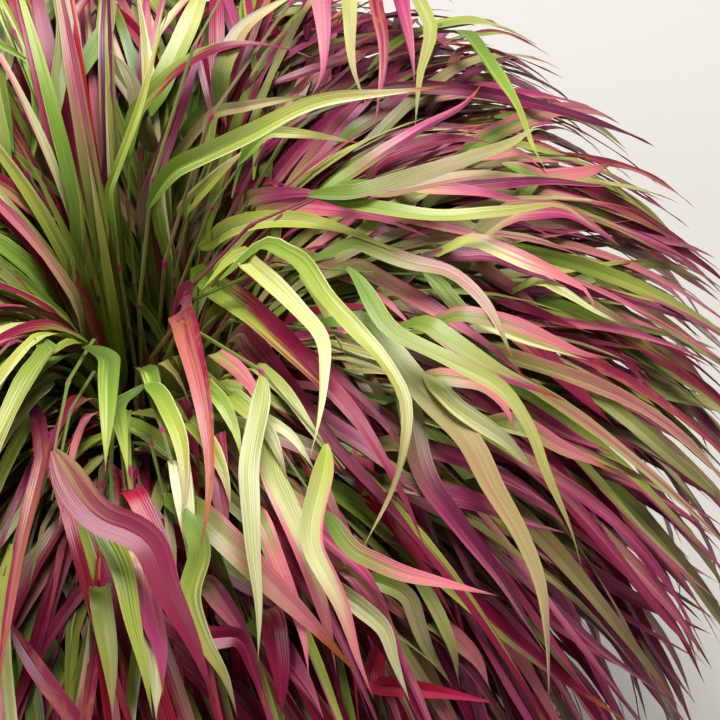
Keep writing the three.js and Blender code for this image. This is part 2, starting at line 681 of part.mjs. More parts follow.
function soilMesh(stems) {
  const flatSide = Math.cos(Math.PI / POT_SIDES);
  const radius = (height) => (potRadius(height) - POT_WALL) * flatSide - FIT_GAP;
  const outline = [
    [0, POT_FLOOR + FIT_GAP],
    [radius(POT_FLOOR), POT_FLOOR + FIT_GAP],
    [radius(SOIL_TOP), SOIL_TOP],
    [0, SOIL_TOP],
  ].map(([r, z]) => new THREE.Vector2(r, z));
  const holes = stems.map((stem) => {
    const foot = layerPoint(stem.base, 0, stem.layer, 0);
    return uprightHole(HOLE_RADIUS, HOLE_SIDES, foot.x, foot.y, SOIL_TOP - HOLE_DEPTH, SOIL_TOP + 1);
  });
  const soil = turned(outline, SOIL_SIDES).subtract(wasm.Manifold.union(holes));
  return solidMesh("soil", soil, SOIL_COLOUR, SOIL_ROUGHNESS);
}

const group = new THREE.Group();
const rooted = [];
for (const tuft of FRONT_TUFTS) {
  const { stems, blades } = frontTuft(tuft);
  rooted.push(stems[0]);
  group.add(leafyMesh(tuft.name, stems, blades, tuft.tint));
}
for (const ring of OUTER_RINGS) {
  for (let slot = 0; slot < ring.count; slot++) {
    const { stems, blades } = outerStem(ring, slot);
    rooted.push(stems[0]);
    const tint = OUTER_TINTS[(2 * ring.layer + slot) % OUTER_TINTS.length];
    group.add(leafyMesh(`stem_${ring.layer}_${slot}`, stems, blades, tint));
  }
}
group.add(potMesh());
group.add(soilMesh(rooted));

export default group;
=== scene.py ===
"""A potted clump of Japanese forest grass, 'Beni-kaze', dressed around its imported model.

A plain terracotta pot of soil carries leafy culms that rise from the crown and arch outwards in nested
layers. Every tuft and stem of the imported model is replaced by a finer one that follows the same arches:
thin ribbed blades, green, cream and wine red, on slim round culms. Lengths are millimetres until a mesh
is made, and metres after that. Azimuth 0 is +X and 90 is +Y.
"""

import logging
import math
from collections.abc import Callable, Iterator, Sequence
from dataclasses import dataclass, field
from enum import Enum
from itertools import product

import bpy
import numpy as np
from bpy.types import Material, Mesh, Node, NodeSocket, NodeTree, Object
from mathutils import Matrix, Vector


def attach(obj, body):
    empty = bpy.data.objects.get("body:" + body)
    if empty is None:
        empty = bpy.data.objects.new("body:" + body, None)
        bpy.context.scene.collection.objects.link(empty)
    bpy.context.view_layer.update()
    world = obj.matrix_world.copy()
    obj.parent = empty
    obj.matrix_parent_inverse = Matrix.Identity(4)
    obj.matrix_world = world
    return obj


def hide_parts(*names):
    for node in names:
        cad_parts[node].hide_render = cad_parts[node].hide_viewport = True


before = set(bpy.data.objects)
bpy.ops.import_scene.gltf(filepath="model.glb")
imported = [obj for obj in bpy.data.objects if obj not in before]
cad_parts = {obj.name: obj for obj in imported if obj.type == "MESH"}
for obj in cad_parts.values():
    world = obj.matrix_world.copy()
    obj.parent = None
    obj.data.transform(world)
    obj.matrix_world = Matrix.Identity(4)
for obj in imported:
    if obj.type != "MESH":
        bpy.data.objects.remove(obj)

LOG = logging.getLogger("forest_grass")
METRES = 0.001
BODY = "root"
UNDERSIDE = "#a9a898"

# Short names of types: a Pair is a pixel of the view, or the least number and how much more it may be
Pair = tuple[float, float]
Triple = tuple[float, float, float]
Array = np.ndarray
Numbers = Array | float
ArrayPair = tuple[Array, Array]


class Slot(Enum):
    """The material slots of the imported model's nodes, which the layout names for each node."""

    GREEN = "green"
    PALE = "pale"
    OLIVE = "olive"
    MAUVE = "mauve"
    BURGUNDY = "burgundy"
    CRIMSON = "crimson"
    TERRACOTTA = "terracotta"
    SOIL = "potting_soil"


class Tone(Enum):
    """The colours of the living blades, as sRGB."""

    CREAM = "#e2dfa6"
    PALE = "#cdcd80"
    LIME = "#b6be4e"
    GREEN = "#7f9f38"
    DEEP_GREEN = "#556b27"
    OLIVE = "#b59a62"
    SAGE = "#98906e"
    ROSE = "#e27d88"
    MAUVE = "#c23f77"
    PLUM = "#7d224c"
    BURGUNDY = "#9c1744"
    # Partly painted light: the blades' own red, drawn vivid crimson as red blades in shade look when light
    # shines through them from behind.
    CRIMSON = "#c01530"
    SALMON = "#c4705a"


@dataclass(frozen=True)
class Colouring:
    """How a blade is coloured, at its root, its middle and its tip.

    ground is what shows where the flush isn't, shares says how much of the blade the flush takes, margin
    adds to that along both margins and side on one half of the blade alone. dryness gives it rusty spots.
    """

    ground: tuple[Tone, Tone, Tone]
    flush: Tone
    shares: Triple
    margin: float = 0.1
    side: float = 0.1
    dryness: float = 0.0


class Dress(Enum):
    """The colourings that occur in the clump."""

    LIME = Colouring((Tone.GREEN, Tone.LIME, Tone.OLIVE), Tone.CREAM, (0.1, 0.3, 0.3), 0.1, 0.2)
    CREAM = Colouring((Tone.LIME, Tone.PALE, Tone.PALE), Tone.CREAM, (0.3, 0.55, 0.6))
    CREAM_PINK = Colouring((Tone.LIME, Tone.CREAM, Tone.SALMON), Tone.ROSE, (0.0, 0.35, 0.8), 0.2, 0.25)
    PALE = Colouring((Tone.GREEN, Tone.PALE, Tone.OLIVE), Tone.LIME, (0.3, 0.45, 0.4))
    GREEN = Colouring((Tone.DEEP_GREEN, Tone.GREEN, Tone.LIME), Tone.LIME, (0.1, 0.35, 0.5))
    TURNING = Colouring((Tone.GREEN, Tone.LIME, Tone.OLIVE), Tone.BURGUNDY, (-0.05, 0.65, 1.1), 0.1, 0.4)
    BLUSHED = Colouring((Tone.GREEN, Tone.LIME, Tone.PALE), Tone.MAUVE, (-0.2, 0.3, 0.8), 0.15, 0.35)
    STRIPED = Colouring((Tone.GREEN, Tone.OLIVE, Tone.PALE), Tone.MAUVE, (0.2, 0.42, 0.5), -0.15, 0.1)
    OLIVE = Colouring((Tone.GREEN, Tone.OLIVE, Tone.PALE), Tone.SAGE, (0.3, 0.4, 0.3))
    OLIVE_ROSE = Colouring((Tone.GREEN, Tone.OLIVE, Tone.ROSE), Tone.ROSE, (0.0, 0.5, 0.7), 0.2, 0.25, 0.2)
    ROSE = Colouring((Tone.PALE, Tone.ROSE, Tone.ROSE), Tone.MAUVE, (0.0, 0.45, 0.6), 0.15, 0.25)
    MAUVE = Colouring((Tone.GREEN, Tone.MAUVE, Tone.ROSE), Tone.PLUM, (0.0, 0.4, 0.5), 0.1, 0.2)
    PLUM = Colouring((Tone.SAGE, Tone.MAUVE, Tone.MAUVE), Tone.PLUM, (0.3, 0.65, 0.7))
    BURGUNDY = Colouring((Tone.OLIVE, Tone.MAUVE, Tone.MAUVE), Tone.BURGUNDY, (0.45, 0.7, 0.7))
    SALMON = Colouring((Tone.PLUM, Tone.SALMON, Tone.ROSE), Tone.BURGUNDY, (0.55, 0.4, 0.4), 0.15, 0.25, 0.32)
    # Partly painted light: red blades in shade at the front left, drawn vivid crimson for the light that
    # shines through them from behind.
    CRIMSON = Colouring((Tone.BURGUNDY, Tone.BURGUNDY, Tone.MAUVE), Tone.CRIMSON, (0.5, 0.6, 0.55))


@dataclass(frozen=True)
class Traced:
    """A long blade in front: its width in millimetres, its colouring and its bends, as view pixels."""

    width: float
    dress: Dress
    bends: tuple[Pair, ...]


@dataclass(frozen=True)
class FrontTuft:
    """A tuft in front: the azimuth of its root and those that its stems lean to, and its long blades."""

    node: str
    layer: int
    base: float
    stems: tuple[float, ...]
    slot: Slot
    blades: tuple[Traced, ...]


FRONT_TUFTS = (
    FrontTuft("tuft_low_0", 0, -84, (-92,), Slot.PALE, (
        Traced(8.5, Dress.GREEN, ((110, 364), (108, 420), (105, 477))),
        Traced(13, Dress.BURGUNDY, ((112, 525), (127, 530), (145, 541), (166, 588), (191, 638), (216, 704))),
    )),
    FrontTuft("tuft_mid_0", 0, -10, (-54, -22, 4, 34), Slot.GREEN, (
        Traced(7.5, Dress.CREAM, ((249, 480), (253, 546), (259, 613), (258, 664))),
        Traced(8, Dress.CREAM_PINK, ((316, 558), (340, 604), (359, 662), (374, 700))),
        Traced(11, Dress.SALMON,
               ((181, 300), (188, 336), (199, 381), (206, 422), (210, 479), (206, 520), (197, 563))),
        Traced(8, Dress.CREAM,
               ((240, 255), (266, 278), (299, 311), (322, 339), (324, 381), (318, 425), (310, 457))),
        Traced(7.6, Dress.LIME,
               ((266, 245), (299, 260), (324, 295), (360, 335), (382, 359), (406, 406), (405, 439),
                (396, 479), (362, 550))),
        Traced(7.2, Dress.PALE,
               ((401, 338), (460, 366), (501, 389), (526, 422), (547, 475), (572, 533), (583, 573))),
        Traced(7, Dress.LIME, ((360, 204), (435, 216), (509, 211), (564, 207), (592, 226), (615, 239))),
        Traced(9, Dress.OLIVE, ((360, 196), (443, 169), (509, 144), (542, 129), (554, 138))),
    )),
    FrontTuft("tuft_high_0", 0, 72, (70, 92), Slot.GREEN, (
        Traced(9, Dress.LIME, ((180, 167), (249, 136), (316, 103), (390, 93), (458, 85))),
        Traced(10.5, Dress.ROSE, ((318, -40), (321, 0), (324, 41), (322, 75), (311, 100))),
        Traced(9, Dress.PALE, ((346, -40), (349, 0), (355, 75), (368, 108))),
        Traced(4, Dress.LIME, ((110, 187), (141, 103), (158, 41), (171, 5))),
    )),
    FrontTuft("tuft_low_1", 1, -72, (-92, -74, -58), Slot.BURGUNDY, (
        Traced(6, Dress.GREEN, ((118, 412), (124, 445), (128, 477))),
        Traced(7, Dress.GREEN, ((150, 375), (158, 400), (163, 427))),
        Traced(7, Dress.LIME, ((165, 406), (180, 440), (185, 479), (183, 520))),
        Traced(8.5, Dress.GREEN, ((103, 531), (120, 563), (133, 621), (146, 679), (153, 719))),
        Traced(8, Dress.LIME, ((199, 561), (190, 596), (203, 638), (226, 679), (238, 719))),
        Traced(9, Dress.CREAM_PINK, ((274, 480), (299, 538), (316, 588), (332, 646), (337, 677))),
        Traced(7, Dress.OLIVE_ROSE, ((360, 555), (401, 573), (443, 583), (499, 596))),
    )),
    FrontTuft("tuft_mid_1", 1, -6, (-34, -12, 12), Slot.MAUVE, (
        Traced(11.5, Dress.TURNING,
               ((200, 275), (224, 291), (266, 326), (307, 366), (349, 409), (400, 490), (430, 560))),
        Traced(11, Dress.STRIPED,
               ((368, 323), (401, 364), (435, 403), (468, 439), (493, 488), (518, 530), (539, 580),
                (547, 638), (549, 700))),
        Traced(8, Dress.STRIPED, ((360, 243), (410, 262), (451, 273), (484, 303), (501, 333), (518, 371))),
        Traced(8, Dress.STRIPED, ((393, 192), (476, 176), (547, 176))),
        Traced(7, Dress.MAUVE, ((360, 166), (426, 126), (468, 101), (484, 81))),
        Traced(8, Dress.CREAM, ((463, 414), (509, 444), (539, 477))),
    )),
    FrontTuft("tuft_high_1", 1, 66, (42, 60, 86), Slot.BURGUNDY, (
        Traced(7, Dress.TURNING, ((140, 108), (183, 66), (249, 45), (282, 48), (314, 58))),
        Traced(7, Dress.SALMON, ((372, -40), (375, 0), (383, 41), (375, 129))),
        Traced(6, Dress.PALE, ((277, 133), (320, 137), (360, 143))),
    )),
    FrontTuft("tuft_low_2", 2, -68, (-84, -62), Slot.BURGUNDY, (
        Traced(10, Dress.BURGUNDY, ((213, 639), (238, 639), (254, 671), (269, 719))),
        Traced(8, Dress.ROSE, ((304, 513), (332, 543), (360, 570), (390, 610))),
        Traced(7, Dress.CREAM, ((360, 609), (382, 629), (393, 659), (410, 702))),
    )),
    FrontTuft("tuft_mid_2", 2, -8, (-32, -10, 14), Slot.CRIMSON, (
        Traced(11, Dress.BURGUNDY, ((241, 333), (274, 373), (312, 419), (349, 464), (400, 520))),
        Traced(8, Dress.ROSE, ((360, 270), (410, 296), (460, 326), (501, 356), (531, 384))),
        Traced(9.5, Dress.MAUVE, ((435, 497), (468, 538), (501, 580), (526, 621), (551, 662))),
        Traced(8, Dress.OLIVE_ROSE, ((549, 176), (585, 172), (615, 163))),
        Traced(7, Dress.ROSE, ((435, 191), (490, 196), (542, 204))),
        Traced(7, Dress.LIME, ((476, 321), (526, 340), (590, 361))),
    )),
    FrontTuft("tuft_high_2", 2, 66, (60, 82), Slot.OLIVE, (
        Traced(10.5, Dress.PALE, ((166, 75), (185, 35), (199, 0), (212, -40))),
        Traced(7, Dress.PLUM, ((148, 194), (172, 130), (193, 71), (205, 30))),
        Traced(6, Dress.OLIVE, ((219, 113), (265, 103), (314, 95))),
    )),
    # Its crimson blades are partly painted light: red blades in shade, drawn vivid as if lit through from
    # behind.
    FrontTuft("tuft_low_3", 3, -70, (-80, -56), Slot.CRIMSON, (
        Traced(8, Dress.CRIMSON, ((125, 497), (130, 545), (132, 596))),
        Traced(8, Dress.CRIMSON, ((208, 566), (212, 600), (214, 629))),
        Traced(7, Dress.OLIVE, ((410, 604), (426, 646), (453, 687))),
        Traced(7, Dress.CRIMSON, ((377, 686), (426, 691), (501, 704))),
    )),
    FrontTuft("tuft_mid_3", 3, -12, (-38, -14, 10), Slot.OLIVE, (
        Traced(7, Dress.PLUM, ((215, 322), (235, 345), (249, 363), (272, 426))),
        Traced(8, Dress.CRIMSON, ((373, 497), (410, 546), (440, 596), (460, 629))),
        Traced(7, Dress.STRIPED, ((393, 295), (426, 328), (440, 359), (453, 398), (460, 414))),
        Traced(11, Dress.BURGUNDY, ((546, 364), (580, 395), (615, 427))),
        Traced(7, Dress.LIME, ((549, 176), (585, 180), (615, 186))),
    )),
    FrontTuft("tuft_high_3", 3, 54, (36, 74), Slot.MAUVE, (
        Traced(7, Dress.GREEN, ((199, 119), (237, 90), (276, 60))),
        Traced(8, Dress.MAUVE, ((372, 120), (410, 92), (446, 76))),
    )),
)


# More blades seen between those, by the tuft that they grow from.
MORE_TRACED = {
    "tuft_low_1": (
        Traced(10, Dress.ROSE, ((143, 573), (150, 613), (160, 646), (163, 696))),
        Traced(8, Dress.CRIMSON, ((140, 502), (158, 538), (175, 580), (186, 613))),
        Traced(10, Dress.CREAM, ((148, 633), (155, 662), (156, 719))),
        Traced(8, Dress.CREAM, ((180, 470), (186, 513), (190, 546), (188, 583))),
        Traced(8, Dress.LIME, ((150, 353), (175, 373), (191, 406))),
        Traced(7, Dress.GREEN, ((205, 385), (222, 405), (236, 432), (242, 462))),
        Traced(7, Dress.OLIVE_ROSE, ((214, 352), (240, 372), (258, 398), (270, 430))),
        Traced(7, Dress.LIME, ((196, 430), (213, 452), (226, 482), (231, 512))),
        Traced(11, Dress.OLIVE_ROSE,
               ((193, 505), (216, 530), (249, 563), (282, 596), (316, 629), (359, 676))),
        Traced(9, Dress.BURGUNDY, ((214, 440), (218, 480), (223, 513), (224, 536), (222, 556))),
        Traced(7, Dress.OLIVE_ROSE, ((262, 523), (274, 555), (291, 596), (304, 638), (309, 679))),
    ),
    "tuft_low_2": (
        Traced(8, Dress.PALE, ((103, 613), (110, 662), (113, 719))),
        Traced(6, Dress.BURGUNDY, ((180, 398), (193, 439), (201, 479))),
        Traced(8, Dress.GREEN, ((163, 394), (183, 414), (199, 447))),
        Traced(9, Dress.BURGUNDY, ((276, 646), (281, 679), (282, 719))),
        Traced(9, Dress.MAUVE, ((286, 656), (307, 687), (324, 719))),
        Traced(8, Dress.ROSE, ((226, 609), (241, 629), (251, 652))),
        Traced(7, Dress.BURGUNDY, ((284, 546), (299, 573), (316, 604), (329, 629))),
        Traced(7, Dress.ROSE, ((360, 583), (377, 606), (390, 633), (403, 661), (411, 686))),
    ),
    "tuft_low_3": (
        Traced(9, Dress.TURNING, ((213, 560), (249, 583), (282, 603), (332, 646), (359, 662))),
        Traced(8, Dress.OLIVE_ROSE, ((456, 639), (476, 659), (491, 691))),
        Traced(6, Dress.PALE, ((426, 593), (440, 623), (453, 656), (460, 689))),
    ),
    "tuft_mid_1": (
        Traced(8, Dress.GREEN, ((125, 296), (143, 310), (166, 340), (180, 368))),
        Traced(8, Dress.LIME, ((235, 400), (250, 415), (266, 431), (278, 455), (288, 485))),
        Traced(6, Dress.CREAM, ((254, 414), (291, 436), (316, 472))),
        Traced(6, Dress.PALE, ((256, 366), (282, 389), (316, 436), (342, 472))),
        Traced(5, Dress.LIME, ((304, 273), (324, 306), (347, 361))),
        Traced(9, Dress.CREAM_PINK, ((479, 242), (526, 262), (567, 280), (590, 295), (595, 312))),
        Traced(8, Dress.OLIVE_ROSE, ((463, 313), (509, 323), (551, 340), (584, 354), (615, 359))),
        Traced(9, Dress.BLUSHED, ((426, 323), (468, 353), (501, 373), (531, 386), (567, 402))),
        Traced(8, Dress.OLIVE_ROSE, ((453, 378), (484, 386), (504, 406), (516, 434))),
        Traced(9, Dress.PALE, ((206, 238), (249, 223), (316, 223), (359, 236), (400, 255))),
        Traced(11, Dress.ROSE, ((519, 214), (567, 214), (600, 232), (620, 246))),
    ),
    "tuft_mid_2": (
        Traced(9, Dress.PLUM, ((438, 255), (493, 257), (526, 272), (567, 288))),
        Traced(8, Dress.ROSE, ((318, 415), (340, 430), (365, 446), (392, 470), (420, 498))),
        Traced(6, Dress.CREAM, ((561, 291), (592, 310), (619, 323))),
        Traced(8, Dress.SALMON, ((360, 211), (401, 217), (435, 227), (476, 239), (520, 262))),
        Traced(7, Dress.PALE, ((431, 216), (460, 221), (493, 234), (519, 244))),
        Traced(9, Dress.ROSE, ((249, 209), (299, 206), (345, 211), (390, 222), (430, 238))),
        Traced(9, Dress.OLIVE_ROSE, ((270, 250), (310, 262), (350, 276), (385, 300), (415, 330))),
        Traced(8, Dress.BURGUNDY, ((290, 350), (320, 368), (350, 392), (380, 420), (405, 452))),
        Traced(8, Dress.MAUVE, ((400, 440), (440, 452), (480, 466), (520, 486), (556, 510))),
        Traced(8, Dress.GREEN, ((420, 395), (450, 412), (480, 430), (512, 452), (545, 480))),
        Traced(9, Dress.MAUVE, ((405, 482), (443, 493), (484, 505), (518, 521), (567, 533))),
        Traced(8, Dress.OLIVE_ROSE, ((238, 436), (266, 456), (279, 479))),
        Traced(8, Dress.OLIVE_ROSE, ((526, 427), (567, 451), (592, 461), (619, 476))),
        Traced(7, Dress.MAUVE, ((435, 192), (493, 186), (559, 184), (615, 187))),
    ),
    "tuft_mid_3": (
        Traced(6, Dress.BURGUNDY, ((468, 280), (501, 300), (551, 318), (597, 335))),
        Traced(8, Dress.ROSE, ((489, 273), (517, 290), (542, 315), (552, 330))),
        Traced(6, Dress.ROSE, ((526, 412), (559, 431), (615, 454))),
        Traced(8, Dress.MAUVE, ((370, 456), (418, 461), (453, 472))),
        Traced(7, Dress.MAUVE, ((506, 480), (534, 498), (559, 518), (569, 533))),
        Traced(5, Dress.CRIMSON, ((360, 563), (393, 586), (426, 608), (460, 628))),
        Traced(8, Dress.PLUM, ((415, 546), (453, 573), (489, 599))),
        Traced(7, Dress.CRIMSON, ((223, 273), (249, 283), (274, 296))),
        Traced(7, Dress.BURGUNDY, ((363, 229), (393, 231), (426, 232), (463, 240))),
        Traced(8, Dress.MAUVE, ((468, 219), (509, 222), (559, 239))),
    ),
    "tuft_high_1": (
        Traced(9, Dress.MAUVE, ((392, -40), (400, 0), (411, 50), (415, 83))),
        Traced(8, Dress.PALE, ((405, -40), (418, 0), (430, 25), (420, 75), (415, 129))),
        Traced(9, Dress.GREEN, ((460, 22), (501, 80), (518, 108), (534, 149), (547, 172))),
        Traced(9, Dress.OLIVE, ((225, 60), (241, 30), (270, 8), (300, -8))),
        Traced(8, Dress.OLIVE, ((138, 106), (130, 76), (110, 50))),
    ),
    "tuft_high_2": (
        Traced(8, Dress.BURGUNDY, ((388, 158), (426, 144), (463, 139), (496, 144))),
        Traced(8, Dress.OLIVE_ROSE, ((484, 156), (518, 153), (547, 174))),
        Traced(7, Dress.LIME, ((193, 200), (224, 169), (254, 143))),
        Traced(7, Dress.MAUVE, ((262, 197), (299, 194), (340, 197))),
    ),
    "tuft_high_3": (
        Traced(7, Dress.ROSE, ((170, 230), (186, 214), (206, 204))),
        Traced(6, Dress.BURGUNDY, ((243, 187), (266, 182), (291, 187))),
        Traced(6, Dress.ROSE, ((143, 90), (146, 40), (146, -20))),
    ),
}


@dataclass(frozen=True)
class OuterRing:
    """A ring of stems: the azimuth where it begins, the arc that its stems share, and their count."""

    layer: int
    start: float
    arc: float
    count: int


OUTER_RINGS = (
    OuterRing(0, 108, 148, 2),
    OuterRing(1, 104, 144, 2),
    OuterRing(2, 100, 160, 2),
    OuterRing(3, 98, 154, 2),
    OuterRing(4, 12, 360, 6),
    OuterRing(5, 40, 360, 6),
    OuterRing(6, 5, 360, 6),
    OuterRing(7, 31, 360, 6),
    OuterRing(8, 0, 360, 7),
    OuterRing(9, 23, 360, 7),
)
OUTER_SLOTS = (Slot.GREEN, Slot.BURGUNDY, Slot.OLIVE, Slot.PALE, Slot.CRIMSON, Slot.MAUVE)


def linear(hex_colour: str) -> tuple[float, float, float, float]:
    """Turns an sRGB hex colour into linear light.

    Args:
        hex_colour: The colour as "#rrggbb".

    Returns:
        Red, green, blue and an alpha of 1.
    """
    channels = [int(hex_colour[i : i + 2], 16) / 255 for i in (1, 3, 5)]
    lit = [c / 12.92 if c <= 0.04045 else ((c + 0.055) / 1.055) ** 2.4 for c in channels]
    return (*lit, 1.0)


def smoothstep(value: Numbers, low: float, high: float) -> Numbers:
    """Rises smoothly from 0 at low to 1 at high."""
    share = np.clip((value - low) / (high - low), 0, 1)
    return share * share * (3 - 2 * share)


def unit(vectors: Array) -> Array:
    """The vectors, one a row, each made 1 long."""
    return vectors / np.linalg.norm(vectors, axis=1, keepdims=True)


def travelled(points: Array) -> Array:
    """The length of the way to each point from the first."""
    return np.concatenate([[0], np.cumsum(np.linalg.norm(np.diff(points, axis=0), axis=1))])


def spline(values: Array, at: Array, count: int) -> Array:
    """Draws a smooth curve through values.

    Args:
        values: What the curve passes, one a row.
        at: How far along the way each is.
        count: How many rows come back.

    Returns:
        The curve's values at equal steps.
    """
    slopes = np.gradient(values, at, axis=0)
    wanted = np.linspace(0, at[-1], count)
    index = np.clip(np.searchsorted(at, wanted, "right") - 1, 0, len(at) - 2)
    stride = np.diff(at)[index][:, None]
    share = (wanted - at[index])[:, None] / stride
    start, end = values[index], values[index + 1]
    leaving, arriving = slopes[index] * stride, slopes[index + 1] * stride
    return (
        start
        + leaving * share
        + (3 * (end - start) - 2 * leaving - arriving) * share**2
        + (2 * (start - end) + leaving + arriving) * share**3
    )


def select_only(made: Object | None = None) -> None:
    """Selects one object alone and makes it the active one, or leaves nothing selected.

    Args:
        made: The object, if any.
    """
    for thing in bpy.context.selected_objects:
        thing.select_set(False)
    if made:
        made.select_set(True)
    bpy.context.view_layer.objects.active = made


def edit_vertices(made: Object, wanted: Callable[[Vector], bool]) -> None:
    """Enters edit mode with the wanted vertices selected, and nothing else.

    Args:
        made: The active object.
        wanted: Says of a vertex's place whether it is selected.
    """
    bpy.ops.object.mode_set(mode="EDIT")
    bpy.ops.mesh.select_mode(type="VERT")
    bpy.ops.mesh.select_all(action="DESELECT")
    bpy.ops.object.mode_set(mode="OBJECT")
    for vertex in made.data.vertices:
        vertex.select = wanted(vertex.co)
    bpy.ops.object.mode_set(mode="EDIT")


def turned(name: str, outline: Sequence[Pair], sides: int, unit_length: float = METRES) -> Object:
    """Turns a round piece ring by ring from a disc.

    Args:
        name: The piece's name.
        outline: The radius and height of the disc and of each further ring.
        sides: How many sides it has.
        unit_length: How long the outline's unit is in metres: a millimetre, if it isn't given.

    Returns:
        The piece.
    """
    select_only()
    radius, height = outline[0]
    bpy.ops.mesh.primitive_circle_add(
        vertices=sides, radius=radius * unit_length, fill_type="NGON", location=(0, 0, height * unit_length)
    )
    made = bpy.context.object
    made.name = name
    bpy.ops.object.transform_apply(location=True, rotation=False, scale=False)
    bpy.ops.object.mode_set(mode="EDIT")
    bpy.ops.mesh.select_all(action="SELECT")
    for (r0, z0), (r1, z1) in zip(outline, outline[1:]):
        bpy.ops.mesh.extrude_region_move(TRANSFORM_OT_translate={"value": (0, 0, (z1 - z0) * unit_length)})
        bpy.ops.transform.resize(value=(r1 / r0, r1 / r0, 1))
    bpy.ops.mesh.select_all(action="SELECT")
    bpy.ops.mesh.normals_make_consistent(inside=False)
    bpy.ops.object.mode_set(mode="OBJECT")
    return made


class Draw:
    """A seeded draw of numbers between 0 and 1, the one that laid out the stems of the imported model."""

    MASK = 0xFFFFFFFF
    STEP = 0x6D2B79F5

    def __init__(self, seed: int) -> None:
        """Starts the draw at a seed."""
        self.state = seed & self.MASK

    def __call__(self) -> float:
        """Draws the next number.

        Returns:
            The number, from 0 up to 1.
        """
        self.state = (self.state + self.STEP) & self.MASK
        mixed = ((self.state ^ (self.state >> 15)) * (self.state | 1)) & self.MASK
        mixed = (mixed + (mixed ^ (mixed >> 7)) * (mixed | 61)) & self.MASK ^ mixed
        return (mixed ^ (mixed >> 14)) / (self.MASK + 1)

    def within(self, least: float, more: float) -> float:
        """A number from least up to least plus more."""
        return least + more * self()

    def around(self, most: float) -> float:
        """A number from minus most to most."""
        return most * (2 * self() - 1)

    def pick(self, choices: Sequence) -> object:
        """One of the choices."""
        return choices[min(int(self() * len(choices)), len(choices) - 1)]


@dataclass(frozen=True)
class Fountain:
    """The nested arches that stems and blades follow, like the jets of a fountain.

    The slope falls from rise by bend, half of it at the arc length bend_at, and by droop, half of it at
    droop_at. Layer 0 is the uppermost. Lower ones, which may lie between whole numbers, lean out more,
    droop more and are smaller.
    """

    soil_top: float = 168.0
    rise: float = 85.0
    bend: float = 92.0
    bend_at: float = 205.0
    bend_power: float = 4.0
    droop: float = 78.0
    droop_at: float = 430.0
    droop_power: float = 3.0
    length: float = 700.0
    step: float = 2.0
    first_ring: float = 9.0
    ring_step: float = 8.0
    lean_step: float = 1.5
    droop_step: float = 1.5
    shrink: float = 0.035
    shrink_more: float = 0.0035
    tables: dict = field(default_factory=dict, compare=False)

    def size(self, layer: float) -> float:
        """The size of a layer's arch as a share of that of layer 0."""
        return 1 - self.shrink * layer - self.shrink_more * layer**2

    def table(self, layer: float) -> tuple[Array, Array, Array, Array]:
        """Works out the arch of a layer, once.

        Args:
            layer: The layer.

        Returns:
            The arc length, radius, height over the soil and slope at every step.
        """
        key = round(layer, 3)
        if key not in self.tables:
            arc = np.arange(0, self.length + self.step, self.step)
            bend = arc**self.bend_power / (arc**self.bend_power + self.bend_at**self.bend_power)
            droop = arc**self.droop_power / (arc**self.droop_power + self.droop_at**self.droop_power)
            lean = self.rise - self.lean_step * layer
            slope = np.radians(lean - self.bend * bend - (self.droop + self.droop_step * layer) * droop)
            stride = self.step * self.size(layer)
            start = self.first_ring + self.ring_step * layer
            radius = start + stride * np.concatenate([[0], np.cumsum(np.cos(slope))[:-1]])
            height = stride * np.concatenate([[0], np.cumsum(np.sin(slope))[:-1]])
            self.tables[key] = (arc, radius, height, slope)
        return self.tables[key]

    def arc_at_radius(self, radius: float, layer: float) -> float:
        """The arc length at which a layer first has a radius, or the whole arc length if it never has."""
        arcs, radii, _, _ = self.table(layer)
        return float(arcs[np.argmax(radii >= radius)]) if radii.max() >= radius else float(arcs[-1])

    def nearest(self, arc: float, layer: float, other: float) -> Pair:
        """Finds the place on another layer that is nearest to one on a layer.

        Args:
            arc: The arc length of the place.
            layer: Its layer.
            other: The other layer.

        Returns:
            The arc length on the other layer, and how far off that place is.
        """
        radius, height, _ = self.on_arch(arc, layer)
        arcs, radii, heights, _ = self.table(other)
        away = np.hypot(radii - radius, heights - height)
        nearest = int(np.argmin(away))
        return float(arcs[nearest]), float(away[nearest])

    def on_arch(self, arc: Numbers, layer: float, lift: Numbers = 0.0) -> tuple[Array, Array, Array]:
        """Finds a place on a layer's arch.

        Args:
            arc: The arc length from the root.
            layer: The layer.
            lift: How far the place lies over the layer.

        Returns:
            Its radius, its height over the soil and the slope there.
        """
        arcs, radii, heights, slopes = self.table(layer)
        slope = np.interp(arc, arcs, slopes)
        radius = np.interp(arc, arcs, radii) - lift * np.sin(slope)
        height = np.interp(arc, arcs, heights) + lift * np.cos(slope)
        return radius, height, slope

    def point(self, azimuth: Array, arc: Array, layer: float, lift: Numbers = 0.0) -> Array:
        """Puts points of a layer in space.

        Args:
            azimuth: Their azimuths in radians.
            arc: Their arc lengths.
            layer: The layer.
            lift: How far they lie over it.

        Returns:
            The points, one a row.
        """
        radius, height, _ = self.on_arch(arc, layer, lift)
        x = radius * np.cos(azimuth)
        y = radius * np.sin(azimuth)
        return np.stack([x, y, self.soil_top + height], axis=-1)

    def normal(self, azimuth: Array, arc: Array, layer: float) -> Array:
        """Finds the outward normals of a layer.

        Args:
            azimuth: Azimuths in radians.
            arc: Arc lengths.
            layer: The layer.

        Returns:
            The normals, one a row.
        """
        slope = self.on_arch(arc, layer)[2]
        x = -np.sin(slope) * np.cos(azimuth)
        y = -np.sin(slope) * np.sin(azimuth)
        return np.stack([x, y, np.cos(slope)], axis=-1)


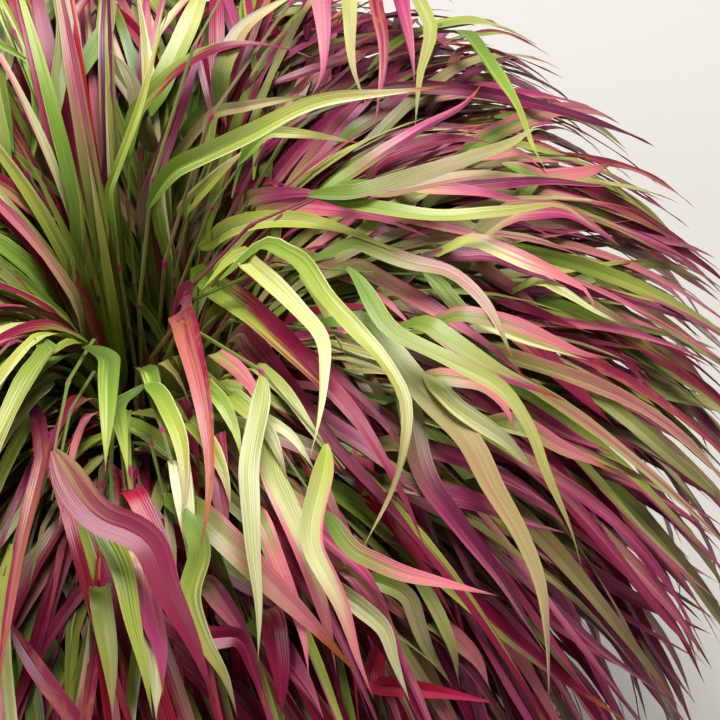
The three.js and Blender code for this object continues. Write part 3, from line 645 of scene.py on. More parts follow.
@dataclass(frozen=True)
class View:
    """The place from which the clump is known, with the crown a little left of the middle."""

    elevation: float = 50.0
    distance: float = 850.0
    width: float = 310.0
    pixels: int = 720
    crown_pixel: Pair = (115.0, 310.0)
    crown_height: float = 130.0
    sensor: float = 36.0
    nearest: float = 425.0
    farthest: float = 1500.0

    def axes(self) -> ArrayPair:
        """Works out the view's own directions.

        Returns:
            The direction that is up in it, and the one that leads back to the eye.
        """
        tilt = math.radians(self.elevation)
        up = np.array([0, math.sin(tilt), math.cos(tilt)])
        back = np.array([0, -math.cos(tilt), math.sin(tilt)])
        return up, back

    def eye(self, soil_top: float) -> Array:
        """Finds the place of the camera.

        Args:
            soil_top: The height of the soil.

        Returns:
            The place.
        """
        up, back = self.axes()
        scale = self.width / self.pixels
        crown = np.array([0, 0, soil_top + self.crown_height])
        aside = np.array([(self.pixels / 2 - self.crown_pixel[0]) * scale, 0, 0])
        return crown + aside + up * (self.crown_pixel[1] - self.pixels / 2) * scale + back * self.distance

    def seen_at(self, pixel: Pair, fountain: Fountain, layer: float) -> Pair:
        """Finds the place on a layer that is seen at a pixel.

        Args:
            pixel: Right and down in the view.
            fountain: The arches.
            layer: The layer that the ray is followed to.

        Returns:
            The azimuth in radians and the arc length.
        """
        up, back = self.axes()
        scale = self.width / self.pixels
        aside = np.array([(pixel[0] - self.pixels / 2) * scale, 0, 0])
        ray = aside + up * (self.pixels / 2 - pixel[1]) * scale - back * self.distance
        ray /= np.linalg.norm(ray)
        distance = np.arange(self.nearest, self.farthest, 1.0)
        at = self.eye(fountain.soil_top) + distance[:, None] * ray
        arcs, radii, heights, _ = fountain.table(layer)
        rising = np.maximum.accumulate(radii)
        above = at[:, 2] - fountain.soil_top - np.interp(np.hypot(at[:, 0], at[:, 1]), rising, heights)
        under = int(np.argmax(above <= 0))
        share = above[under - 1] / (above[under - 1] - above[under])
        hit = at[under - 1] + (at[under] - at[under - 1]) * share
        arc = float(np.interp(math.hypot(hit[0], hit[1]), rising, arcs))
        return math.atan2(hit[1], hit[0]), arc

    def add_camera(self, soil_top: float) -> Object:
        """Adds the camera and makes it the scene's own.

        Args:
            soil_top: The height of the soil.

        Returns:
            The camera.
        """
        data = bpy.data.cameras.new("view")
        data.sensor_width = self.sensor
        data.lens = self.sensor * self.distance / self.width
        camera = bpy.data.objects.new("view", data)
        camera.location = Vector(self.eye(soil_top) * METRES)
        camera.rotation_euler = (math.radians(90 - self.elevation), 0, 0)
        bpy.context.scene.collection.objects.link(camera)
        bpy.context.scene.camera = camera
        return camera


@dataclass
class Stem:
    """A culm: its layer, the azimuths of its root and of its lean, and its arc length."""

    layer: float
    base: float
    lean: float
    length: float = 0.0

    TURN_FROM = 10.0
    TURN_TO = 150.0

    def azimuth(self, arc: Numbers) -> Numbers:
        """The azimuth at an arc length: the culm leaves its root upright and leans over."""
        return self.base + (self.lean - self.base) * smoothstep(arc, self.TURN_FROM, self.TURN_TO)


@dataclass
class Blade:
    """A blade on its way: azimuths and arc lengths at equal steps, and how it lies and is coloured."""

    layer: float
    width: float
    azimuths: Array
    arcs: Array
    dress: Dress
    seed: float
    lift: float = 0.0
    roll: float = 0.0
    twist: float = 0.0
    fold: float = 0.3
    ripple: float = 0.3
    dry: float = 0.0
    sink: float = 0.0
    shown: bool = False
    fine: bool = False
    rise: Array | None = None

    LIFTED_BY = 0.2
    SURFACED_BY = 0.28
    ROOT_WIDTH = 0.22
    OPEN_BY = 0.16
    NARROWS_FROM = 0.35
    TIP_POWER = 1.2
    WAVE_TRAIT = 7
    LIGHT_TRAIT = 29
    FLUSH_TRAIT = 13
    RIB_TRAIT = 7

    def trait(self, number: int) -> float:
        """A further number between 0 and 1 that is the blade's own."""
        return self.seed * number % 1

    def way(self, share: Array) -> ArrayPair:
        """The azimuths and arc lengths at shares of its length."""
        along = np.linspace(0, 1, len(self.arcs))
        return np.interp(share, along, self.azimuths), np.interp(share, along, self.arcs)

    def lifts(self, share: Array) -> Array:
        """How far it lies over its layer at shares of its length, before it is settled."""
        surfaced = smoothstep(share, 0, self.SURFACED_BY)
        return self.lift * np.minimum(share / self.LIFTED_BY, 1) - self.sink * (1 - surfaced)

    def half_widths(self, share: Array) -> Array:
        """Works out half its width.

        Args:
            share: Shares of its length: it opens out from a narrow root, and tapers to the tip.

        Returns:
            Half the width at each.
        """
        opened = np.sin(np.minimum(share / self.OPEN_BY, 1) * math.pi / 2)
        opening = self.ROOT_WIDTH + (1 - self.ROOT_WIDTH) * opened
        narrowed = np.clip((share - self.NARROWS_FROM) / (1 - self.NARROWS_FROM), 0, 1)
        falling = np.maximum(np.cos(narrowed * math.pi / 2), 0)
        return self.width / 2 * (opening * falling**self.TIP_POWER)


@dataclass(frozen=True)
class Routes:
    """Lays out the paths of blades over the fountain's layers."""

    fountain: Fountain
    view: View
    steps: int = 24
    traced_steps: int = 32
    seen_points: int = 20
    root_before: float = 22.0
    root_slant: float = 1.3
    lowest_root: float = 40.0
    farthest_root: float = 275.0
    stem_beyond_root: float = 12.0
    straightening: float = 0.7
    wander_turns: float = 5.0
    margin: float = 1.5
    looks_ahead: int = 2

    def seen(self, bends: Sequence[Pair], layer: float) -> Array:
        """Follows a smooth line through bends that are seen.

        Args:
            bends: The bends, as view pixels.
            layer: The layer that the line lies on.

        Returns:
            Azimuths and arc lengths along it, one pair a row.
        """
        pixels = np.array(bends, dtype=float)
        line = spline(pixels, travelled(pixels), self.seen_points)
        return np.array([self.view.seen_at(pixel, self.fountain, layer) for pixel in line])

    def led_back(self, places: Array, layer: float) -> Pair:
        """Leads a seen line back a little way from its start, to its root.

        Args:
            places: Azimuths and arc lengths along the line.
            layer: Its layer.

        Returns:
            The azimuth and arc length of the root.
        """
        azimuth, arc = places[0]
        next_azimuth, next_arc = places[self.looks_ahead]
        radius = float(self.fountain.on_arch(arc, layer)[0])
        aside = (next_azimuth - azimuth) * radius
        onward = (next_arc - arc) * self.fountain.size(layer)
        back = self.root_before / math.hypot(aside, onward)
        farthest = self.fountain.arc_at_radius(self.farthest_root, layer)
        root = min(max(arc - onward * back, self.lowest_root), farthest)
        return azimuth - aside * back / radius, root

    def smooth(self, places: Array, layer: float) -> ArrayPair:
        """Draws a smooth path through places on a layer.

        Args:
            places: Their azimuths and arc lengths, one pair a row.
            layer: The layer.

        Returns:
            The path's azimuths and arc lengths at equal steps.
        """
        at = travelled(self.fountain.point(places[:, 0], places[:, 1], layer))
        azimuths, arcs = spline(places, at, self.traced_steps + 1).T
        return azimuths, arcs

    def steered(
        self,
        stem: Stem,
        root: float,
        length: float,
        heading: float,
        wander: float,
        limit: Callable[[float], float],
    ) -> ArrayPair:
        """Steers a path away from a stem.

        Args:
            stem: The stem that it leaves.
            root: The arc length where it leaves.
            length: Its length in millimetres.
            heading: The angle at which it leaves, in radians.
            wander: How far it swings on its way, in radians.
            limit: The greatest turn from the stem's root at a radius, in radians.

        Returns:
            The azimuths and arc lengths along the path.
        """
        stride = length / self.steps
        azimuths = [float(stem.azimuth(root))]
        arcs = [root]
        for i in range(self.steps):
            share = i / self.steps
            turn = heading * (1 - self.straightening * share) + wander * math.sin(share * self.wander_turns)
            radius = float(self.fountain.on_arch(arcs[-1], stem.layer)[0])
            most = limit(radius)
            azimuth = azimuths[-1] + math.sin(turn) * stride / radius
            azimuths.append(min(max(azimuth, stem.base - most), stem.base + most))
            arc = arcs[-1] + math.cos(turn) * stride / self.fountain.size(stem.layer)
            arcs.append(min(arc, self.fountain.length - 2 * self.fountain.step))
        return np.array(azimuths), np.array(arcs)


@dataclass(frozen=True)
class SectorMix:
    """The dresses that blades get by the azimuth that they grow to.

    A sector reaches up to an azimuth in degrees. Below an arc length its blades are mostly green.
    """

    until: float
    green_until: float
    dresses: tuple[Dress, ...]


NEAR_CROWN = (Dress.LIME, Dress.GREEN, Dress.GREEN, Dress.PALE, Dress.ROSE, Dress.BLUSHED, Dress.TURNING)
SECTOR_MIXES = (
    # The front left sector often takes crimson, partly painted light: red blades in shade, lit through from
    # behind.
    SectorMix(-58, 150, (Dress.CRIMSON, Dress.CRIMSON, Dress.BURGUNDY, Dress.CRIMSON, Dress.MAUVE, Dress.ROSE,
                         Dress.TURNING, Dress.LIME, Dress.CREAM_PINK, Dress.SALMON, Dress.BLUSHED)),
    SectorMix(-25, 170, (Dress.MAUVE, Dress.MAUVE, Dress.BURGUNDY, Dress.ROSE, Dress.BURGUNDY, Dress.TURNING,
                         Dress.BLUSHED, Dress.STRIPED, Dress.OLIVE_ROSE, Dress.CREAM_PINK, Dress.ROSE)),
    SectorMix(25, 150, (Dress.MAUVE, Dress.BURGUNDY, Dress.TURNING, Dress.ROSE, Dress.STRIPED, Dress.ROSE,
                        Dress.OLIVE_ROSE, Dress.BLUSHED, Dress.PALE, Dress.OLIVE, Dress.SALMON)),
    SectorMix(75, 60, (Dress.OLIVE, Dress.PALE, Dress.BLUSHED, Dress.TURNING, Dress.PLUM, Dress.MAUVE,
                       Dress.OLIVE_ROSE, Dress.ROSE, Dress.BURGUNDY, Dress.SALMON)),
    SectorMix(360, 110, tuple(Dress)),
)


Growth = tuple[list[Stem], list[Blade]]


@dataclass
class Layout:
    """Works out every culm and blade of the clump, node by node.

    Side blades are drawn more loosely, by the factor looseness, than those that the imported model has.
    """

    fountain: Fountain
    routes: Routes
    front_side_blades: tuple[int, ...] = (0, 0, 0, 5)
    front_extra: tuple[int, ...] = (0, 0, 4, 28)
    front_lean: float = 20.0
    extra_depth: Pair = (0.35, 1.3)
    more_depth: float = 1.3
    leafy_from: int = 1
    more_side_blades: int = 3
    front_stem_length: float = 230.0
    stem_blades: int = 7
    stem_length: Pair = (270.0, 110.0)
    stem_lean: float = 0.25
    first_root: float = 50.0
    last_root: float = 30.0
    root_shift: float = 4.0
    tip_root: float = 14.0
    width: Pair = (6.0, 4.5)
    length: Pair = (140.0, 100.0)
    heading: Pair = (16.0, 24.0)
    wander: float = 7.0
    roll: float = 13.0
    lift: float = 1.2
    looseness: float = 2.0
    extra_width: Pair = (3.8, 4.6)
    narrowest: float = 0.4
    wide_by: float = 200.0
    upper_extra: int = 12
    lower_extra: int = 9
    upper_layers: int = 4
    upper_aside: float = 0.9
    lower_aside: float = 1.1
    root_aside: float = 0.6
    layer_shift: float = 0.7
    deepest: float = 9.4
    green_share: float = 0.8
    farthest_turn: float = 32.0
    upper_turn: float = 12.0
    widest: float = 286.0
    first_azimuth: float = -100.0
    fold: Pair = (0.12, 0.34)
    ripple: Pair = (0.1, 0.4)
    twist: float = 40.0
    dried_share: float = 0.35
    front_seed: int = 500
    more_seed: int = 4000
    ring_seed: int = 1000
    looks_seed: int = 7000

    def dress_at(self, azimuth: float, root: float, draw: Draw) -> Dress:
        """Picks a dress for a blade.

        Args:
            azimuth: The azimuth that it grows to, in radians.
            root: The arc length of its root: blades near the crown are green.
            draw: The draw to pick with.

        Returns:
            The dress.
        """
        degrees = (math.degrees(azimuth) - self.first_azimuth) % 360 + self.first_azimuth
        mix = next(m for m in SECTOR_MIXES if degrees < m.until)
        near_crown = root < mix.green_until and draw() < self.green_share
        return draw.pick(NEAR_CROWN if near_crown else mix.dresses)

    def finish_blade(self, blade: Blade, draw: Draw) -> Blade:
        """Gives a blade its own fold, twist, ripple and dryness.

        Args:
            blade: The blade.
            draw: The draw to take them from.

        Returns:
            The same blade.
        """
        blade.fold = draw.within(*self.fold)
        blade.ripple = draw.within(*self.ripple)
        blade.twist += math.radians(draw.around(self.twist)) * draw()
        blade.dry = draw() if draw() < self.dried_share else 0.0
        return blade

    def traced(self, tuft: FrontTuft, draw: Draw) -> Growth:
        """Lays out the long blades of a front tuft as they are seen, and the stems that carry them.

        Args:
            tuft: The tuft.
            draw: The draw that the blades take their looks from.

        Returns:
            The stems and the blades.
        """
        base = math.radians(tuft.base)
        stems = [Stem(tuft.layer, base, math.radians(lean)) for lean in tuft.stems]
        blades = []
        routes = self.routes
        for traced in tuft.blades:
            places = routes.seen(traced.bends, tuft.layer)
            azimuth, arc = places[0]
            stem = min(stems, key=lambda s: abs(azimuth - s.azimuth(arc)))
            radius = float(self.fountain.on_arch(arc, tuft.layer)[0])
            reach = abs(azimuth - stem.azimuth(arc)) * radius
            root = max(routes.lowest_root, arc - max(routes.root_before, routes.root_slant * reach))
            stem.length = max(stem.length, root + routes.stem_beyond_root)
            path = routes.smooth(np.vstack([[stem.azimuth(root), root], places]), tuft.layer)
            blade = Blade(tuft.layer, traced.width, *path, traced.dress, draw(), shown=True, fine=True)
            blades.append(self.finish_blade(blade, draw))
        return [stem for stem in stems if stem.length > 0], blades

    def more_traced(self, tuft: FrontTuft, draw: Draw) -> Growth:
        """Lays out the further blades that are seen, each on a stem that leads up to it.

        Args:
            tuft: The tuft that they grow from.
            draw: The draw that they take their looks from.

        Returns:
            The stems and the blades.
        """
        stems = []
        blades = []
        routes = self.routes
        base = math.radians(tuft.base)
        below = tuft.layer + self.more_depth
        for traced in MORE_TRACED.get(tuft.node, ()):
            places = routes.seen(traced.bends, tuft.layer)
            azimuth, root = routes.led_back(places, tuft.layer)
            path = routes.smooth(np.vstack([[azimuth, root], places]), tuft.layer)
            joint, sink = self.fountain.nearest(root, tuft.layer, below)
            stem = Stem(below, (azimuth + base) / 2, azimuth, joint + routes.stem_beyond_root)
            blade = Blade(tuft.layer, traced.width, *path, traced.dress, draw(), sink=sink, shown=True)
            stems.append(stem)
            blades.append(self.finish_blade(blade, draw))
            if tuft.layer >= self.leafy_from:
                blades += self.side_blades(stem, self.more_side_blades, draw, self.farthest_turn)
        return stems, blades

    def front(self, tuft: FrontTuft, seed: int) -> Growth:
        """Lays out a front tuft: its long blades, side blades between them, and more stems below.

        Args:
            tuft: The tuft.
            seed: Where its draw starts.

        Returns:
            The stems and the blades.
        """
        draw = Draw(seed)
        stems, blades = self.traced(tuft, draw)
        leans = [math.degrees(stem.lean) for stem in stems]
        more_stems, more_blades = self.more_traced(tuft, Draw(seed + self.more_seed))
        count = self.front_side_blades[tuft.layer]
        for stem in stems if count else ():
            stem.length = max(stem.length, self.front_stem_length)
            blades += self.side_blades(stem, count, draw, self.farthest_turn)
        for _ in range(self.front_extra[tuft.layer]):
            lean = draw.pick(leans) + draw.around(self.front_lean)
            layer = tuft.layer + draw.within(*self.extra_depth)
            length = draw.within(*self.stem_length)
            extra = Stem(layer, math.radians((lean + tuft.base) / 2), math.radians(lean), length)
            stems.append(extra)
            blades += self.side_blades(extra, self.stem_blades, draw, self.farthest_turn)
        return stems + more_stems, blades + more_blades

    def side_blades(self, stem: Stem, count: int, draw: Draw, turn: float) -> list[Blade]:
        """Lays out blades to the left and right of a stem in turn, free to cross their neighbours.

        Args:
            stem: The stem.
            count: How many blades it gets.
            draw: The draw that they take their looks from.
            turn: How far they may turn from the stem, in degrees.

        Returns:
            The blades.
        """
        blades = []
        size = self.fountain.size(stem.layer)
        farthest = self.fountain.arc_at_radius(self.widest, stem.layer)
        most = abs(stem.lean - stem.base) + math.radians(turn)
        stem.length = min(stem.length, farthest - self.last_root)
        spread = stem.length - self.first_root - self.last_root
        loose = self.looseness
        for i in range(count):
            last = i == count - 1
            root = self.first_root + spread * i / (count - 1)
            root += draw.around(loose * self.root_shift)
            root = stem.length - self.tip_root if last else root
            length = min(draw.within(*self.length) * math.sqrt(size), (farthest - root) * size)
            heading = math.radians(draw.within(*self.heading)) * (1 if i % 2 else -1)
            wander = math.radians(draw.around(loose * self.wander))
            path = self.routes.steered(stem, root, length, 0.0 if last else heading, wander, lambda _: most)
            width = draw.within(*self.extra_width) * min(1, self.narrowest + length / self.wide_by)
            dress = self.dress_at(float(path[0][-1]), root, draw)
            blade = Blade(stem.layer, width, *path, dress, draw())
            blade.lift = draw.around(loose * self.lift)
            blade.roll = math.radians(draw.around(loose * self.roll))
            blades.append(self.finish_blade(blade, draw))
        return blades

    def outer(self, ring: OuterRing, slot: int) -> Growth:
        """Lays out an outer node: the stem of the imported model, and more stems beside it.

        Args:
            ring: The node's ring.
            slot: Its place in the ring.

        Returns:
            The stems and the blades.
        """
        seed = self.ring_seed * ring.layer + slot
        draw = Draw(seed + 1)
        looks = Draw(seed + self.looks_seed)
        half = math.radians(ring.arc / ring.count) / 2
        base = math.radians(ring.start) + half * (2 * slot + 1)
        lean = base + half * draw.around(self.stem_lean)
        stem = Stem(ring.layer, base, lean, draw.within(*self.stem_length))
        spread = stem.length - self.first_root - self.last_root
        blades = []
        for i in range(self.stem_blades):
            last = i == self.stem_blades - 1
            root = self.first_root + spread * i / (self.stem_blades - 1)
            root += draw.around(self.root_shift)
            root = stem.length - self.tip_root if last else root
            width = draw.within(*self.width)
            length = draw.within(*self.length) * math.sqrt(self.fountain.size(ring.layer))
            heading = math.radians(draw.within(*self.heading)) * (1 if i % 2 else -1)
            wander = math.radians(draw.around(self.wander))
            roll = math.radians(draw.around(self.roll))
            path = self.routes.steered(
                stem, root, length, 0.0 if last else heading, wander,
                lambda radius: half - (width / 2 + self.routes.margin) / radius,
            )
            dress = self.dress_at(float(path[0][-1]), root, looks)
            blade = Blade(ring.layer, width, *path, dress, looks(), roll=roll)
            blade.lift = (i % 3 - 1) * self.lift
            blades.append(self.finish_blade(blade, looks))
        stems = [stem]
        upper = ring.layer < self.upper_layers
        turn = self.upper_turn if upper else self.farthest_turn
        farthest_aside = half * (self.upper_aside if upper else self.lower_aside)
        for _ in range(self.upper_extra if upper else self.lower_extra):
            aside = looks.around(farthest_aside)
            layer = min(max(ring.layer + looks.around(self.layer_shift), 0.0), self.deepest)
            length = looks.within(*self.stem_length)
            extra = Stem(layer, base + aside * self.root_aside, base + aside, length)
            stems.append(extra)
            blades += self.side_blades(extra, self.stem_blades, looks, turn)
        return stems, blades

    def nodes(self) -> Iterator[tuple[str, Slot, list[Stem], list[Blade]]]:
        """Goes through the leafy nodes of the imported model.

        Returns:
            The name of each, its slot, its stems and its blades.
        """
        for number, tuft in enumerate(FRONT_TUFTS):
            yield tuft.node, tuft.slot, *self.front(tuft, self.front_seed + number)
        for ring in OUTER_RINGS:
            for slot in range(ring.count):
                finish = OUTER_SLOTS[(2 * ring.layer + slot) % len(OUTER_SLOTS)]
                yield f"stem_{ring.layer}_{slot}", finish, *self.outer(ring, slot)


@dataclass(frozen=True)
class Samples:
    """Places along every blade: half widths, folds, owners, ranks and shares of length, one a row.

    A blade that is shown has rank 1, and every other rank 0.
    """

    points: Array
    normals: Array
    half: Array
    fold: Array
    owner: Array
    rank: Array
    share: Array


@dataclass(frozen=True)
class Settling:
    """Lays blades that would cross on each other: the upper one of two rises and the lower one sinks.

    A long traced blade counts as the upper one of a pair that is close. Of most and mobility, the first
    is for a filling blade and the second for a traced one.
    """

    fountain: Fountain
    samples: int = 25
    reach: float = 8.0
    gap: float = 0.9
    fold_gap: float = 0.5
    rounds: int = 40
    most: Pair = (8.0, 2.0)
    mobility: Pair = (1.0, 0.12)
    rank_height: float = 6.0
    near_share: float = 0.75
    near_margin: float = 1.0
    level: float = 1e-9
    held: float = 0.985
    haste: float = 1.3
    root_share: float = 0.15
    smoothings: int = 3

    def sampled(self, blades: list[Blade]) -> Samples:
        """Takes samples along every blade.

        Args:
            blades: The blades.

        Returns:
            The samples, blade by blade.
        """
        share = np.linspace(0, 1, self.samples)
        ways = [blade.way(share) for blade in blades]
        points = [
            self.fountain.point(*way, blade.layer, blade.lifts(share)) for way, blade in zip(ways, blades)
        ]
        normals = [self.fountain.normal(*way, blade.layer) for way, blade in zip(ways, blades)]
        half = np.concatenate([blade.half_widths(share) for blade in blades])
        return Samples(
            points=np.concatenate(points),
            normals=np.concatenate(normals),
            half=half,
            fold=np.repeat([blade.fold for blade in blades], self.samples) * half,
            owner=np.repeat(np.arange(len(blades)), self.samples),
            rank=np.repeat([int(blade.shown) for blade in blades], self.samples),
            share=np.tile(share, len(blades)),
        )

    def settle(self, blades: list[Blade]) -> None:
        """Works out how far each blade rises along its way.

        Args:
            blades: All blades of the clump. Each gets its rise.
        """
        at = self.sampled(blades)
        i, j = self.neighbours(at.points, at.owner)
        normal = unit(at.normals[i] + at.normals[j])
        apart = at.points[i] - at.points[j]
        height = np.sum(apart * normal, axis=1)
        aside = np.sqrt(np.maximum(np.sum(apart**2, axis=1) - height**2, 0))
        near = aside < self.near_share * (at.half[i] + at.half[j]) + self.near_margin
        i, j, normal, height = i[near], j[near], normal[near], height[near]
        over = self.uppers(at, i, j, height, len(blades))
        wanted = self.gap + self.fold_gap * (at.fold[i] + at.fold[j])
        lean_i = np.sum(at.normals[i] * normal, axis=1)
        lean_j = np.sum(at.normals[j] * normal, axis=1)
        moves = np.array(self.mobility)[at.rank]
        part = moves[i] / (moves[i] + moves[j])
        most = np.array(self.most)[at.rank]
        free = np.minimum(at.share / self.root_share, 1)
        rise = np.zeros(len(free))
        for _ in range(self.rounds):
            short = wanted - over * (height + rise[i] * lean_i - rise[j] * lean_j)
            push = over * np.maximum(short, 0)
            total = np.bincount(i, push * part, len(rise)) - np.bincount(j, push * (1 - part), len(rise))
            touches = np.bincount(i, push != 0, len(rise)) + np.bincount(j, push != 0, len(rise))
            step = (total / np.maximum(touches, 1)).reshape(len(blades), self.samples)
            step = self.smoothed(step, self.smoothings).ravel()
            rise = np.clip((rise * self.held + step * self.haste) * free, -most, most)
        rise = self.smoothed(rise.reshape(len(blades), self.samples), self.smoothings)
        for blade, row in zip(blades, rise):
            blade.rise = row

    def uppers(self, at: Samples, i: Array, j: Array, height: Array, count: int) -> Array:
        """Says which sample of each pair belongs to the upper blade.

        Args:
            at: The samples.
            i: The first sample of each pair.
            j: The second.
            height: How far the first lies over the second.
            count: How many blades there are.

        Returns:
            1 where it is the first and -1 where it is the second, alike for all pairs of two blades.
        """
        _, pair = np.unique(at.owner[i] * count + at.owner[j], return_inverse=True)
        mean = (np.bincount(pair, weights=height) / np.bincount(pair))[pair]
        ranked = at.rank[i] - at.rank[j]
        decided = (ranked != 0) & (np.abs(mean) < self.rank_height)
        return np.where(decided, ranked, np.sign(mean + self.level))

    @staticmethod
    def smoothed(rows: Array, times: int) -> Array:
        """Draws every value of a row towards its neighbours.

        Args:
            rows: The rows.
            times: How often.

        Returns:
            The smoother rows.
        """
        for _ in range(times):
            padded = np.pad(rows, ((0, 0), (1, 1)), mode="edge")
            rows = padded[:, :-2] * 0.25 + rows * 0.5 + padded[:, 2:] * 0.25
        return rows

    def neighbours(self, points: Array, owner: Array) -> ArrayPair:
        """Finds the pairs of points of different blades that are close.

        Args:
            points: The points, one a row.
            owner: The blade of each point.

        Returns:
            The first and the second point of each pair, where the first belongs to the earlier blade.
        """
        cells = np.floor(points / self.reach).astype(np.int64)
        cells -= cells.min(axis=0) - 1
        span = cells.max(axis=0) + 2
        key = (cells[:, 0] * span[1] + cells[:, 1]) * span[2] + cells[:, 2]
        order = np.argsort(key, kind="stable")
        ordered = key[order]
        firsts = []
        seconds = []
        for x, y, z in product((-1, 0, 1), repeat=3):
            wanted = key + (x * span[1] + y) * span[2] + z
            start = np.searchsorted(ordered, wanted, "left")
            found = np.searchsorted(ordered, wanted, "right") - start
            first = np.repeat(np.arange(len(key)), found)
            within = np.arange(found.sum()) - np.repeat(np.cumsum(found) - found, found)
            second = order[np.repeat(start, found) + within]
            close = owner[first] < owner[second]
            first, second = first[close], second[close]
            apart = np.linalg.norm(points[first] - points[second], axis=1)
            firsts.append(first[apart < self.reach])
            seconds.append(second[apart < self.reach])
        return np.concatenate(firsts), np.concatenate(seconds)


def add_node(tree: NodeTree, kind: str, inputs: dict | None = None, **settings: object) -> Node:
    """Adds a node to a material.

    Args:
        tree: The material's node tree.
        kind: The node's type, after the words ShaderNode.
        inputs: What each input gets, by its name or number: a node or socket to link, or a value.
        **settings: Properties of the node.

    Returns:
        The new node.
    """
    node = tree.nodes.new(f"ShaderNode{kind}")
    for name, value in settings.items():
        setattr(node, name, value)
    for name, value in (inputs or {}).items():
        if isinstance(value, Node):
            value = value.outputs[0]
        if isinstance(value, NodeSocket):
            tree.links.new(value, node.inputs[name])
        else:
            node.inputs[name].default_value = value
    return node


def new_material(name: str) -> tuple[Material, NodeTree]:
    """Makes a material without any nodes.

    Args:
        name: The material's name.

    Returns:
        The material and its node tree.
    """
    material = bpy.data.materials.new(name)
    material.use_nodes = True
    material.node_tree.nodes.clear()
    return material, material.node_tree


@dataclass(frozen=True)
class LeafFinish:
    """Living grass blade, grown: a waxy ribbed skin that lets some light through from behind.

    A pattern's two sizes are in millimetres along and across the blade. Real veins lie 0.3 mm apart, too
    fine to show from here, so they are drawn coarser.
    """

    name: str = "grass_blade_waxy"
    streak: Pair = (60.0, 0.55)
    band: Pair = (150.0, 2.3)
    blotch: Pair = (9.0, 3.0)
    detail: float = 2.0
    streak_weight: float = 1.0
    band_weight: float = 1.0
    softness: float = 0.15
    vein_spacing: float = 0.95
    vein_light: float = 0.045
    streak_light: float = 0.7
    midrib: Pair = (0.1, 0.5)
    vein_height: float = 0.025
    dries: Pair = (0.85, 1.1)
    straw: str = "#c0682c"
    bloom: str = "#cdc8ea"
    bloom_weight: float = 0.05
    roughness: Pair = (0.3, 0.48)
    rough_streaks: Pair = (0.3, 0.7)
    wax: float = 0.3
    wax_roughness: float = 0.32
    ior: float = 1.42
    translucency: float = 0.26

    def material(self) -> Material:
        """Makes the material from the attributes that the blades carry.

        Returns:
            The material.
        """
        # Gives the eye hair-thin stripes of green, cream and wine red, rusty spots and a cool waxy sheen.
        material, tree = new_material(self.name)
        grain = add_node(tree, "Attribute", attribute_name="grain").outputs["Vector"]
        traits = add_node(tree, "Attribute", attribute_name="traits").outputs["Vector"]
        ground = add_node(tree, "Attribute", attribute_name="ground").outputs["Color"]
        flush = add_node(tree, "Attribute", attribute_name="flush").outputs["Color"]
        share, dryness, rib = add_node(tree, "SeparateXYZ", {0: traits}).outputs
        across = add_node(tree, "SeparateXYZ", {0: grain}).outputs["Y"]
        patterns = []
        for length, width in (self.streak, self.band, self.blotch):
            scale = (1 / length, 1 / width, 1.0)
            place = add_node(tree, "VectorMath", {0: grain, 1: scale}, operation="MULTIPLY")
            patterns.append(
                add_node(tree, "TexNoise", {"Vector": place, "Scale": 1.0, "Detail": self.detail})
            )
        streaks, bands, blotches = patterns

        level = add_node(
            tree, "Math", {0: streaks, 1: self.streak_weight, 2: share}, operation="MULTIPLY_ADD"
        )
        level = add_node(tree, "Math", {0: bands, 1: self.band_weight, 2: level}, operation="MULTIPLY_ADD")
        middle = (1 + self.streak_weight + self.band_weight) / 2
        flushed = add_node(
            tree, "MapRange",
            {"Value": level, "From Min": middle - self.softness, "From Max": middle + self.softness},
            interpolation_type="SMOOTHSTEP",
        )
        skin = add_node(tree, "Mix", {0: flushed, 6: ground, 7: flush}, data_type="RGBA")
        dried = add_node(tree, "Math", {0: blotches, 1: dryness}, operation="ADD")
        dried = add_node(
            tree, "MapRange",
            {"Value": dried, "From Min": self.dries[0], "From Max": self.dries[1]},
            interpolation_type="SMOOTHSTEP",
        )
        skin = add_node(tree, "Mix", {0: dried, 6: skin.outputs[2], 7: linear(self.straw)}, data_type="RGBA")

        wave = add_node(tree, "Math", {0: across, 1: 2 * math.pi / self.vein_spacing}, operation="MULTIPLY")
        veins = add_node(tree, "Math", {0: wave}, operation="SINE")
        light = add_node(
            tree, "Math", {0: veins, 1: self.vein_light, 2: 1 - self.streak_light / 2},
            operation="MULTIPLY_ADD",
        )
        light = add_node(
            tree, "Math", {0: streaks, 1: self.streak_light, 2: light}, operation="MULTIPLY_ADD"
        )
        aside = add_node(tree, "Math", {0: across}, operation="ABSOLUTE")
        midrib = add_node(
            tree, "MapRange",
            {"Value": aside, "From Min": self.midrib[0], "From Max": self.midrib[1],
             "To Min": 1.0, "To Max": 0.0},
        )
        light = add_node(tree, "Math", {0: midrib, 1: rib, 2: light}, operation="MULTIPLY_ADD")
        colour = add_node(tree, "VectorMath", {0: skin.outputs[2], "Scale": light}, operation="SCALE")

        height = add_node(tree, "Math", {0: veins, 1: streaks}, operation="ADD")
        bump = add_node(
            tree, "Bump", {"Height": height, "Strength": 1.0, "Distance": self.vein_height * METRES}
        )
        shine = add_node(
            tree, "MapRange",
            {"Value": streaks, "From Min": self.rough_streaks[0], "From Max": self.rough_streaks[1],
             "To Min": self.roughness[0], "To Max": self.roughness[1]},
        )
        wax = add_node(
            tree, "BsdfPrincipled",
            {"Base Color": colour, "Roughness": shine, "Normal": bump, "IOR": self.ior,
             "Coat Weight": self.wax, "Coat Roughness": self.wax_roughness,
             "Sheen Weight": self.bloom_weight, "Sheen Tint": linear(self.bloom)},
        )
        through = add_node(tree, "BsdfTranslucent", {"Color": colour, "Normal": bump})
        mixed = add_node(tree, "MixShader", {0: self.translucency, 1: wax, 2: through})
        add_node(tree, "OutputMaterial", {"Surface": mixed})
        return material


